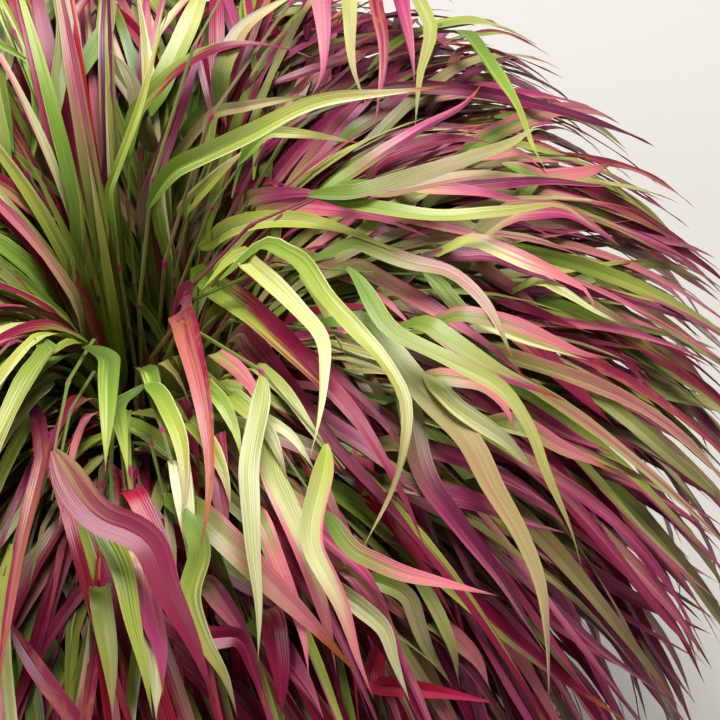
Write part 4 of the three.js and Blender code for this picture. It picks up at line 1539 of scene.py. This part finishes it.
@dataclass(frozen=True)
class TerracottaFinish:
    """Unglazed terracotta, thrown and fired: dry, matt and faintly speckled, with turning lines.

    Lengths are in metres. A colour stands with the share of the patches' noise at which it shows pure.
    """

    name: str = "terracotta_unglazed"
    shade: tuple[str, float] = ("#8d5038", 0.3)
    clay: tuple[str, float] = ("#a9684b", 0.5)
    bloom: tuple[str, float] = ("#c79a80", 0.72)
    roughness: float = 0.88
    ior: float = 1.5
    patch: float = 0.045
    patch_detail: float = 5.0
    grit: float = 0.0012
    detail: float = 2.0
    turning: float = 0.004
    turning_length: float = 50.0
    relief: float = 0.0004
    relief_strength: float = 0.7

    def material(self) -> Material:
        """Makes the material, with its patterns in object coordinates.

        Returns:
            The material.
        """
        # Gives the eye a dry orange-brown clay with paler lime blooms, fine grit and turning lines. The
        # turning lines are drawn coarser than real ones, which are too fine to show.
        material, tree = new_material(self.name)
        place = add_node(tree, "TexCoord").outputs["Object"]
        patches = add_node(
            tree, "TexNoise", {"Vector": place, "Scale": 1 / self.patch, "Detail": self.patch_detail}
        )
        grit = add_node(tree, "TexNoise", {"Vector": place, "Scale": 1 / self.grit, "Detail": self.detail})
        scale = (1 / self.turning_length, 1 / self.turning_length, 1 / self.turning)
        flat = add_node(tree, "VectorMath", {0: place, 1: scale}, operation="MULTIPLY")
        lines = add_node(tree, "TexNoise", {"Vector": flat, "Scale": 1.0, "Detail": self.detail})
        ramp = add_node(tree, "ValToRGB", {"Fac": patches})
        ramp.color_ramp.elements.new(self.clay[1])
        for stop, (colour, at) in zip(ramp.color_ramp.elements, (self.shade, self.clay, self.bloom)):
            stop.position = at
            stop.color = linear(colour)
        height = add_node(tree, "Math", {0: grit, 1: lines}, operation="ADD")
        bump = add_node(
            tree, "Bump", {"Height": height, "Strength": self.relief_strength, "Distance": self.relief}
        )
        shader = add_node(
            tree, "BsdfPrincipled",
            {"Base Color": ramp, "Roughness": self.roughness, "Normal": bump, "IOR": self.ior},
        )
        add_node(tree, "OutputMaterial", {"Surface": shader})
        return material


@dataclass(frozen=True)
class SoilFinish:
    """Damp potting soil of peat and bark: dark, crumbly and without shine.

    Lengths are in metres. A colour stands with the share of the crumbs' noise at which it shows pure.
    """

    name: str = "potting_soil_damp"
    dark: tuple[str, float] = ("#17110d", 0.42)
    bark: tuple[str, float] = ("#4a3424", 0.7)
    roughness: float = 0.95
    crumb: float = 0.004
    detail: float = 6.0
    relief: float = 0.0015

    def material(self) -> Material:
        """Makes the material, with its patterns in object coordinates.

        Returns:
            The material.
        """
        # Gives the eye near-black damp peat with brown flecks of bark.
        material, tree = new_material(self.name)
        place = add_node(tree, "TexCoord").outputs["Object"]
        crumbs = add_node(
            tree, "TexNoise", {"Vector": place, "Scale": 1 / self.crumb, "Detail": self.detail}
        )
        ramp = add_node(tree, "ValToRGB", {"Fac": crumbs})
        for stop, (colour, at) in zip(ramp.color_ramp.elements, (self.dark, self.bark)):
            stop.position = at
            stop.color = linear(colour)
        bump = add_node(tree, "Bump", {"Height": crumbs, "Strength": 1.0, "Distance": self.relief})
        shader = add_node(
            tree, "BsdfPrincipled", {"Base Color": ramp, "Roughness": self.roughness, "Normal": bump}
        )
        add_node(tree, "OutputMaterial", {"Surface": shader})
        return material


@dataclass(frozen=True)
class Pattern:
    """A piece that is modelled once: its corners in its own measure, and its faces."""

    corners: Array
    faces: list[tuple[int, ...]]
    steps: int


# How near an edge of a pattern counts as on it, and how near two of its corners count as one
EDGE = 0.01
CLOSE = 0.0001


def take_pattern(made: Object, steps: int) -> Pattern:
    """Reads a modelled piece as a pattern to copy, and removes the piece.

    Args:
        made: The piece.
        steps: How many steps it has along.

    Returns:
        The pattern.
    """
    mesh = made.data
    corners = np.zeros(len(mesh.vertices) * 3)
    mesh.vertices.foreach_get("co", corners)
    faces = [tuple(polygon.vertices) for polygon in mesh.polygons]
    bpy.data.objects.remove(made)
    return Pattern(corners.reshape(-1, 3), faces, steps)


def blade_pattern(steps: int, columns: int) -> Pattern:
    """Models one blade, laid flat.

    Args:
        steps: How many steps it has along.
        columns: How many strips it has across.

    Returns:
        The pattern: x is 0 at the root and 1 at the tip, y is -1 and 1 at the margins, and z is -0.5 and
        0.5 on the under and upper side, which meet at the root, the tip and the margins.
    """
    select_only()
    bpy.ops.mesh.primitive_grid_add(
        x_subdivisions=steps, y_subdivisions=columns, size=1, location=(0.5, 0, 0)
    )
    made = bpy.context.object
    made.scale = (1, 2, 1)
    bpy.ops.object.transform_apply(location=True, rotation=False, scale=True)
    half_step = 0.5 / steps
    edit_vertices(made, lambda place: place.x > 1 - half_step)
    bpy.ops.mesh.merge(type="CENTER")
    bpy.ops.object.mode_set(mode="OBJECT")
    thick = made.modifiers.new("skin", "SOLIDIFY")
    thick.thickness = 1.0
    thick.offset = 0.0
    bpy.ops.object.modifier_apply(modifier="skin")
    edit_vertices(made, lambda place: abs(place.y) > 1 - EDGE or not EDGE < place.x < 1 - EDGE)
    bpy.ops.transform.resize(value=(1, 1, 0))
    bpy.ops.mesh.remove_doubles(threshold=CLOSE)
    bpy.ops.object.mode_set(mode="OBJECT")
    return take_pattern(made, steps)


def culm_pattern(steps: int, sides: int) -> Pattern:
    """Models one culm as a round rod.

    Args:
        steps: How many steps it has along.
        sides: How many sides it has.

    Returns:
        The pattern: z is 0 at the root and 1 at the top, and x and y lie on a circle of radius 1.
    """
    rings = [(1.0, step / steps) for step in range(steps + 1)]
    return take_pattern(turned("culm", rings, sides, unit_length=1.0), steps)


@dataclass(frozen=True)
class Looks:
    """What each corner of a laid copy says of its colour: the attributes that the leaf finish reads.

    grain is the place along and across the blade in millimetres, with a number of the blade's own. ground
    and flush are its colours, darkened on deeper layers by painted shade. traits are the share of the flush,
    the dryness and the light of the midrib.
    """

    grain: Array
    ground: Array
    flush: Array
    traits: Array


@dataclass
class MeshParts:
    """Collects copies of patterns for one mesh."""

    corners: list[Array] = field(default_factory=list)
    faces: list[tuple[int, ...]] = field(default_factory=list)
    looks: list[Looks] = field(default_factory=list)
    count: int = 0
    smooth_under: float = 50.0
    on_midrib: float = 1e-6

    def add(self, pattern: Pattern, corners: Array, looks: Looks) -> None:
        """Adds a copy of a pattern.

        Args:
            pattern: The pattern.
            corners: The copy's corners, in place and in millimetres.
            looks: What they say of its colour.
        """
        self.corners.append(corners)
        self.faces += [tuple(index + self.count for index in face) for face in pattern.faces]
        self.looks.append(looks)
        self.count += len(corners)

    def build(self, name: str, material: Material) -> Object:
        """Makes the mesh's object, smooth but for its margins.

        Args:
            name: The piece's name.
            material: Its material.

        Returns:
            The piece.
        """
        mesh = bpy.data.meshes.new(name)
        mesh.from_pydata((np.concatenate(self.corners) * METRES).tolist(), [], self.faces)
        for key, part in (("grain", "vector"), ("ground", "color"), ("flush", "color"), ("traits", "vector")):
            values = np.concatenate([getattr(looks, key) for looks in self.looks]).astype(np.float32)
            attribute = mesh.attributes.new(key, f"FLOAT_{part.upper()}", "POINT")
            attribute.data.foreach_set(part, values.ravel())
        mesh.materials.append(material)
        mesh.update()
        made = bpy.data.objects.new(name, mesh)
        bpy.context.scene.collection.objects.link(made)
        select_only(made)
        bpy.ops.object.shade_smooth_by_angle(angle=math.radians(self.smooth_under))
        self.crease(mesh)
        return made

    def crease(self, mesh: Mesh) -> None:
        """Makes the fold along each blade's midrib sharp.

        Args:
            mesh: The mesh.
        """
        ends = np.zeros(2 * len(mesh.edges), dtype=int)
        mesh.edges.foreach_get("vertices", ends)
        sharp = np.zeros(len(mesh.edges), dtype=bool)
        mesh.edges.foreach_get("use_edge_sharp", sharp)
        across = np.abs(np.concatenate([looks.grain[:, 1] for looks in self.looks]))
        sharp |= (across[ends.reshape(-1, 2)] < self.on_midrib).all(axis=1)
        mesh.edges.foreach_set("use_edge_sharp", sharp)


@dataclass
class Foliage:
    """The leafy part of the clump: builds each tuft and stem as one piece of blades and culms.

    Shares of a blade run from 0 at its root to 1 at its tip.
    """

    fountain: Fountain
    layout: Layout
    thickness: float = 0.3
    margin_thickness: float = 0.14
    tip_thickness: float = 0.02
    midrib_depth: float = 0.35
    midrib_reach: float = 0.1
    midrib_full_at: float = 3.0
    rolled_by: float = 0.3
    root_fold: float = 1.4
    fold_lost: float = 0.9
    wave_length: float = 45.0
    tone_places: Triple = (0.08, 0.5, 0.92)
    underside_ground: float = 0.22
    underside_flush: float = 0.2
    # Painted shade: blades and culms are drawn darker by this times their layer squared, so the deep layers
    # read as the shade inside the clump.
    painted_depth_shade: float = 0.0092
    blade_light: Pair = (0.85, 0.3)
    flush_spread: float = 0.24
    margin_power: int = 3
    dry_from: float = 0.72
    midrib_light: float = 0.16
    pale_midribs: float = 0.6
    grain_apart: float = 400.0
    culm_light: float = 0.9
    culm_radius: float = 1.3
    culm_tip_radius: float = 0.7
    culm_grain: float = 3.0
    culm_flush: float = 0.6
    joint_flush: float = 0.5
    culm_dryness: float = 0.15
    root_depth: float = 12.0
    joints: int = 4
    first_joint: float = 0.8
    top_beyond: float = 0.6
    joint_half: float = 2.5
    joint_swell: float = 1.4
    joint_waist: float = 0.85
    top_share: float = 0.5
    culm_sides: int = 5
    fine_steps: int = 32
    fine_columns: int = 4
    plain_steps: int = 14
    plain_columns: int = 2
    first_seed: int = 90

    def add_blade(self, parts: MeshParts, blade: Blade, pattern: Pattern) -> None:
        """Lays a copy of the blade pattern along a blade's path.

        Args:
            parts: The mesh that it becomes part of.
            blade: The blade.
            pattern: The pattern.
        """
        steps = pattern.steps
        share = np.linspace(0, 1, steps + 1)
        azimuths, arcs = blade.way(share)
        lift = blade.lifts(share) + np.interp(share, np.linspace(0, 1, len(blade.rise)), blade.rise)
        centre = self.fountain.point(azimuths, arcs, blade.layer, lift)
        along = unit(np.gradient(centre, axis=0))
        normal = self.fountain.normal(azimuths, arcs, blade.layer)
        normal = unit(normal - along * np.sum(normal * along, axis=1, keepdims=True))
        across = np.cross(along, normal)
        turn = blade.roll * np.minimum(share / self.rolled_by, 1) + blade.twist * share**2
        cosine = np.cos(turn)[:, None]
        sine = np.sin(turn)[:, None]
        across, normal = across * cosine - normal * sine, normal * cosine + across * sine
        length = float(travelled(centre)[-1])

        u, v, w = pattern.corners.T
        row = np.rint(np.clip(u, 0, 1) * steps).astype(int)
        half = blade.half_widths(share)[row]
        v = np.clip(v, -1, 1)
        side = np.abs(v)
        fold = blade.fold * (self.root_fold - self.fold_lost * u) * side * half
        phase = u * length / self.wave_length + blade.trait(blade.WAVE_TRAIT)
        waves = np.sin(2 * math.pi * phase) * np.sign(v) * side**2
        thick = self.margin_thickness + (self.thickness - self.margin_thickness) * (1 - side)
        thick = np.minimum(thick, half + self.tip_thickness)
        ribbed = (w < 0) & (side < self.midrib_reach)
        keel = np.where(ribbed, -self.midrib_depth * np.minimum(half / self.midrib_full_at, 1), 0)
        rise = fold + blade.ripple * waves + np.sign(w) * thick / 2 + keel
        corners = centre[row] + across[row] * (v * half)[:, None] + normal[row] * rise[:, None]
        parts.add(pattern, corners, self.blade_looks(blade, pattern, length))

    def blade_looks(self, blade: Blade, pattern: Pattern, length: float) -> Looks:
        """Colours a copy of the blade pattern.

        Args:
            blade: The blade.
            pattern: Its pattern.
            length: Its length.

        Returns:
            Its looks.
        """
        u, v, w = pattern.corners.T
        colouring = blade.dress.value
        tones = np.array([linear(tone.value) for tone in colouring.ground])
        ground = np.stack([np.interp(u, self.tone_places, channel) for channel in tones.T], axis=1)
        flush = np.tile(np.array(linear(colouring.flush.value)), (len(u), 1))
        grey = np.array(linear(UNDERSIDE))
        under = (w < 0)[:, None]
        ground += np.where(under, self.underside_ground * (grey - ground), 0)
        flush += np.where(under, self.underside_flush * (grey - flush), 0)
        light, more_light = self.blade_light
        tone_and_painted_shade = light + more_light * blade.trait(blade.LIGHT_TRAIT)
        # Painted shade: blades of deeper layers are drawn darker, the deepest much darker.
        tone_and_painted_shade *= 1 - self.painted_depth_shade * blade.layer**2
        amount = np.interp(u, self.tone_places, colouring.shares)
        amount += colouring.margin * np.abs(v) ** self.margin_power
        amount += (colouring.side if blade.seed < 0.5 else -colouring.side) * np.clip(v, -1, 1)
        amount += self.flush_spread * (blade.trait(blade.FLUSH_TRAIT) - 0.5)
        dryness = colouring.dryness + blade.dry * smoothstep(u, self.dry_from, 1.0)
        pale = blade.trait(blade.RIB_TRAIT) < self.pale_midribs
        rib = np.full(len(u), self.midrib_light if pale else -self.midrib_light)
        own = np.full(len(u), blade.seed * self.grain_apart)
        return Looks(
            grain=np.stack([u * length, v * blade.width / 2, own], axis=1),
            ground=ground * tone_and_painted_shade,
            flush=flush * tone_and_painted_shade,
            traits=np.stack([amount, dryness, rib], axis=1),
        )

    def culm_rows(self, length: float) -> ArrayPair:
        """Shapes a culm: a joint is a swelling of three rows.

        Args:
            length: Its arc length.

        Returns:
            The arc length and the radius of each row.
        """
        arcs = [0.0, 0.0]
        radii = [1.0, 1.0]
        for joint in range(self.joints):
            middle = length * (joint + self.first_joint) / (self.joints + self.top_beyond)
            arcs += [middle - self.joint_half, middle, middle + self.joint_half]
            radii += [1.0, self.joint_swell, self.joint_waist]
        arcs.append(length)
        radii.append(self.top_share)
        arcs = np.array(arcs)
        taper = self.culm_radius + (self.culm_tip_radius - self.culm_radius) * arcs / length
        return arcs, np.array(radii) * taper

    def add_culm(self, parts: MeshParts, stem: Stem, pattern: Pattern, seed: float) -> None:
        """Lays a copy of the culm pattern along a stem, from its root end in the soil to its top.

        Args:
            parts: The mesh that it becomes part of.
            stem: The stem.
            pattern: The pattern.
            seed: A number between 0 and 1 that its looks follow.
        """
        arcs, radii = self.culm_rows(stem.length)
        centre = self.fountain.point(stem.azimuth(arcs), arcs, stem.layer)
        centre[0, 2] = self.fountain.soil_top - self.root_depth
        along = unit(np.gradient(centre, axis=0))
        side = np.array([-math.sin(stem.base), math.cos(stem.base), 0])
        side = unit(side - along * (along @ side)[:, None])
        other = np.cross(along, side)
        x, y, z = pattern.corners.T
        row = np.rint(z * pattern.steps).astype(int)
        corners = centre[row] + (side[row] * x[:, None] + other[row] * y[:, None]) * radii[row][:, None]
        # Painted shade: culms of deeper layers are drawn darker.
        tone_and_painted_shade = self.culm_light - self.painted_depth_shade * stem.layer**2
        root, tip, flush = (
            np.array(linear(tone.value)) * tone_and_painted_shade for tone in (Tone.OLIVE, Tone.GREEN, Tone.MAUVE)
        )
        on_joint = (row > 1) & (row % 3 == 0)
        amount = self.culm_flush * seed + np.where(on_joint, self.joint_flush, 0.0)
        looks = Looks(
            grain=np.stack([arcs[row], x * self.culm_grain, 0 * x + seed * self.grain_apart], axis=1),
            ground=root * (1 - z)[:, None] + tip * z[:, None],
            flush=np.tile(flush, (len(z), 1)),
            traits=np.stack([amount, 0 * x + self.culm_dryness * seed, 0 * x], axis=1),
        )
        parts.add(pattern, corners, looks)

    def build(self, material: Material) -> list[Object]:
        """Builds every leafy piece and puts it in place of its node.

        Args:
            material: The blades' finish.

        Returns:
            The pieces.
        """
        fine = blade_pattern(self.fine_steps, self.fine_columns)
        plain = blade_pattern(self.plain_steps, self.plain_columns)
        culm = culm_pattern(3 * self.joints + 2, self.culm_sides)
        nodes = list(self.layout.nodes())
        Settling(self.fountain).settle([blade for _, _, _, blades in nodes for blade in blades])
        pieces = []
        total = 0
        for node, slot, stems, blades in nodes:
            parts = MeshParts()
            looks = Draw(self.first_seed + len(pieces))
            for stem in stems:
                self.add_culm(parts, stem, culm, looks())
            for blade in blades:
                self.add_blade(parts, blade, fine if blade.fine else plain)
            piece = parts.build(f"{node}_leaves", material)
            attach(piece, BODY)
            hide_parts(node)
            pieces.append(piece)
            total += sum(len(face) - 2 for face in parts.faces)
            counts = (len(stems), len(blades), len(parts.faces))
            LOG.info("%s: %d culms, %d blades, %d faces", piece.name, *counts)
        LOG.info("foliage: %d triangles", total)
        return pieces


@dataclass
class Pot:
    """The plain round pot: a tapered wall with a thick rim band and three drainage holes.

    The wall's outline ends by lip under the band, which steps out by band_step. The rounding of the band's
    lower edge begins at the angle lip_from, with its centre short of the step by lip_back.
    """

    height: float = 185.0
    foot_radius: float = 76.0
    rim_radius: float = 112.0
    wall: float = 7.0
    floor: float = 10.0
    band_height: float = 36.0
    band_step: float = 5.0
    lip: float = 1.0
    lip_back: float = 0.4
    lip_from: float = -60.0
    rounding: float = 2.5
    rounding_points: int = 5
    sides: int = 128
    drain_holes: int = 3
    drain_radius: float = 7.0
    drain_ring: float = 42.0
    drain_sides: int = 32
    smooth_under: float = 40.0

    def wall_radius(self, height: float) -> float:
        """The outer radius of the tapered wall at a height."""
        taper = (self.rim_radius - self.band_step - self.foot_radius) / self.height
        return self.foot_radius + taper * height

    def rounded(self, centre: Pair, start: float, end: float) -> list[Pair]:
        """Rounds a corner of the outline.

        Args:
            centre: The radius and height of the rounding's centre.
            start: The angle where it begins, in degrees.
            end: The angle where it ends.

        Returns:
            The points of the rounding.
        """
        r, z = centre
        angles = np.radians(np.linspace(start, end, self.rounding_points))
        return [(r + self.rounding * math.cos(a), z + self.rounding * math.sin(a)) for a in angles]

    def outline(self) -> list[Pair]:
        """Draws the pot's outline, from the foot over the rim to the inner floor.

        Returns:
            The radius and height of each point.
        """
        r = self.rounding
        band = self.height - self.band_height
        under = self.wall_radius(band)
        inner = self.wall_radius(self.height) - self.wall
        return [
            *self.rounded((self.foot_radius - r, r), -90, 0),
            (under, band - self.lip),
            (under + self.band_step - r, band),
            *self.rounded((under + self.band_step - self.lip_back, band + r), self.lip_from, 0),
            *self.rounded((self.rim_radius - r, self.height - r), 0, 90),
            *self.rounded((inner + r, self.height - r), 90, 180),
            (self.wall_radius(self.floor) - self.wall, self.floor),
        ]

    def build(self, material: Material) -> Object:
        """Turns the pot, drills its holes and puts it in place of its node.

        Args:
            material: Its finish.

        Returns:
            The pot.
        """
        made = turned("pot_turned", self.outline(), self.sides)
        self.drill(made)
        made.data.materials.clear()
        made.data.materials.append(material)
        bpy.ops.object.shade_smooth_by_angle(angle=math.radians(self.smooth_under))
        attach(made, BODY)
        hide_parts("pot")
        LOG.info("%s: %d faces", made.name, len(made.data.polygons))
        return made

    def drill(self, made: Object) -> None:
        """Cuts the drainage holes.

        Args:
            made: The pot.
        """
        for i in range(self.drain_holes):
            angle = 2 * math.pi * i / self.drain_holes
            x = self.drain_ring * math.cos(angle) * METRES
            y = self.drain_ring * math.sin(angle) * METRES
            select_only()
            bpy.ops.mesh.primitive_cylinder_add(
                vertices=self.drain_sides, radius=self.drain_radius * METRES,
                depth=4 * self.floor * METRES, location=(x, y, 0),
            )
            drill = bpy.context.object
            cut = made.modifiers.new("drain", "BOOLEAN")
            cut.object = drill
            cut.solver = "EXACT"
            select_only(made)
            bpy.ops.object.modifier_apply(modifier="drain")
            bpy.data.objects.remove(drill)


@dataclass
class Soil:
    """The potting soil: a body that fills the pot, with an uneven top and crumbs of bark on it.

    Crumb sizes are half lengths, and a crumb's stretch and height are shares of its size.
    """

    pot: Pot
    top: float = 168.0
    gap: float = 0.4
    rings: int = 26
    sides: int = 96
    unevenness: float = 2.2
    top_depth: float = 1.0
    even_from: float = 0.97
    crumbs: int = 420
    crumb_size: Pair = (1.0, 2.4)
    crumb_lift: Pair = (0.2, 1.0)
    crumb_stretch: Pair = (0.8, 1.2)
    crumb_height: Pair = (0.4, 0.5)
    crumb_turn: float = 6.0
    crumb_margin: float = 5.0
    top_seed: int = 31
    crumb_seed: int = 47

    def build(self, material: Material) -> Object:
        """Builds the soil and puts it in place of its node.

        Args:
            material: Its finish.

        Returns:
            The soil.
        """
        low = self.pot.floor + self.gap
        low_radius = self.pot.wall_radius(low) - self.pot.wall - self.gap
        top_radius = self.pot.wall_radius(self.top) - self.pot.wall - self.gap
        rings = [(top_radius * ring / self.rings, self.top) for ring in range(self.rings, 0, -1)]
        made = turned("soil_filled", [(low_radius, low), *rings], self.sides)
        self.roughen(made, top_radius)
        self.scatter(made, top_radius)
        made.data.materials.clear()
        made.data.materials.append(material)
        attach(made, BODY)
        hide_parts("soil")
        LOG.info("%s: %d faces", made.name, len(made.data.polygons))
        return made

    def roughen(self, made: Object, radius: float) -> None:
        """Makes the top uneven, but for its edge along the pot.

        Args:
            made: The soil.
            radius: The radius of its top.
        """
        draw = Draw(self.top_seed)
        for vertex in made.data.vertices:
            if vertex.co.z < (self.top - self.top_depth) * METRES:
                continue
            if math.hypot(vertex.co.x, vertex.co.y) < self.even_from * radius * METRES:
                vertex.co.z += draw.around(self.unevenness) * METRES

    def scatter(self, made: Object, radius: float) -> None:
        """Lays crumbs of bark on the top, copies of one shape that differ in size and turn.

        Args:
            made: The soil.
            radius: The radius of its top.
        """
        select_only()
        bpy.ops.mesh.primitive_ico_sphere_add(subdivisions=1, radius=1, location=(0, 0, 0))
        crumb = bpy.context.object
        draw = Draw(self.crumb_seed)
        copies = []
        for _ in range(self.crumbs):
            copy = crumb.copy()
            copy.data = crumb.data.copy()
            size = draw.within(*self.crumb_size) * METRES
            angle = draw() * 2 * math.pi
            out = math.sqrt(draw()) * (radius - self.crumb_margin) * METRES
            height = (self.top + draw.within(*self.crumb_lift)) * METRES
            copy.location = (out * math.cos(angle), out * math.sin(angle), height)
            copy.rotation_euler = [draw() * self.crumb_turn for _ in range(3)]
            stretch = draw.within(*self.crumb_stretch)
            copy.scale = (size * stretch, size, size * draw.within(*self.crumb_height))
            bpy.context.scene.collection.objects.link(copy)
            copies.append(copy)
        bpy.data.objects.remove(crumb)
        select_only(made)
        for copy in copies:
            copy.select_set(True)
        bpy.ops.object.join()


@dataclass
class Studio:
    """The plain pale floor and the soft light, in metres.

    Each light has its name, its place, its size and its power in watts.
    """

    floor_size: float = 6.0
    floor_colour: str = "#c3bfb8"
    floor_roughness: float = 0.9
    sky_colour: str = "#f4f6fa"
    sky_strength: float = 0.07
    aim: Triple = (0.0, 0.0, 0.28)
    lights: tuple[tuple[str, Triple, float, float], ...] = (
        ("top_softbox", (0.1, 0.85, 1.8), 1.2, 57.0),
        ("front_softbox", (-1.2, -0.9, 1.6), 0.9, 14.0),
        ("side_softbox", (1.8, 0.3, 1.0), 1.0, 4.0),
    )

    def build(self) -> None:
        """Lays the floor and hangs the lights."""
        select_only()
        bpy.ops.mesh.primitive_plane_add(size=self.floor_size, location=(0, 0, 0))
        floor = bpy.context.object
        floor.name = "studio_floor"
        # Gives the eye a plain pale matt card.
        material, tree = new_material("studio_floor_matt")
        shader = add_node(
            tree, "BsdfPrincipled",
            {"Base Color": linear(self.floor_colour), "Roughness": self.floor_roughness},
        )
        add_node(tree, "OutputMaterial", {"Surface": shader})
        floor.data.materials.append(material)
        for name, place, size, power in self.lights:
            data = bpy.data.lights.new(name, "AREA")
            data.shape = "DISK"
            data.size = size
            data.energy = power
            light = bpy.data.objects.new(name, data)
            light.location = place
            light.rotation_euler = (Vector(self.aim) - Vector(place)).to_track_quat("-Z", "Y").to_euler()
            bpy.context.scene.collection.objects.link(light)
        world = bpy.data.worlds.new("studio_air")
        world.use_nodes = True
        sky = world.node_tree.nodes["Background"]
        sky.inputs["Color"].default_value = linear(self.sky_colour)
        sky.inputs["Strength"].default_value = self.sky_strength
        bpy.context.scene.world = world


def main() -> None:
    """Builds the camera, the clump, the pot, the soil and the studio."""
    logging.basicConfig(level=logging.INFO, format="%(message)s")
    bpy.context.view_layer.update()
    fountain = Fountain()
    view = View()
    view.add_camera(fountain.soil_top)
    bpy.context.scene.view_settings.view_transform = "Standard"
    pot = Pot()
    pot.build(TerracottaFinish().material())
    Soil(pot).build(SoilFinish().material())
    layout = Layout(fountain, Routes(fountain, view))
    Foliage(fountain, layout).build(LeafFinish().material())
    Studio().build()


if __name__ == "__main__":
    main()
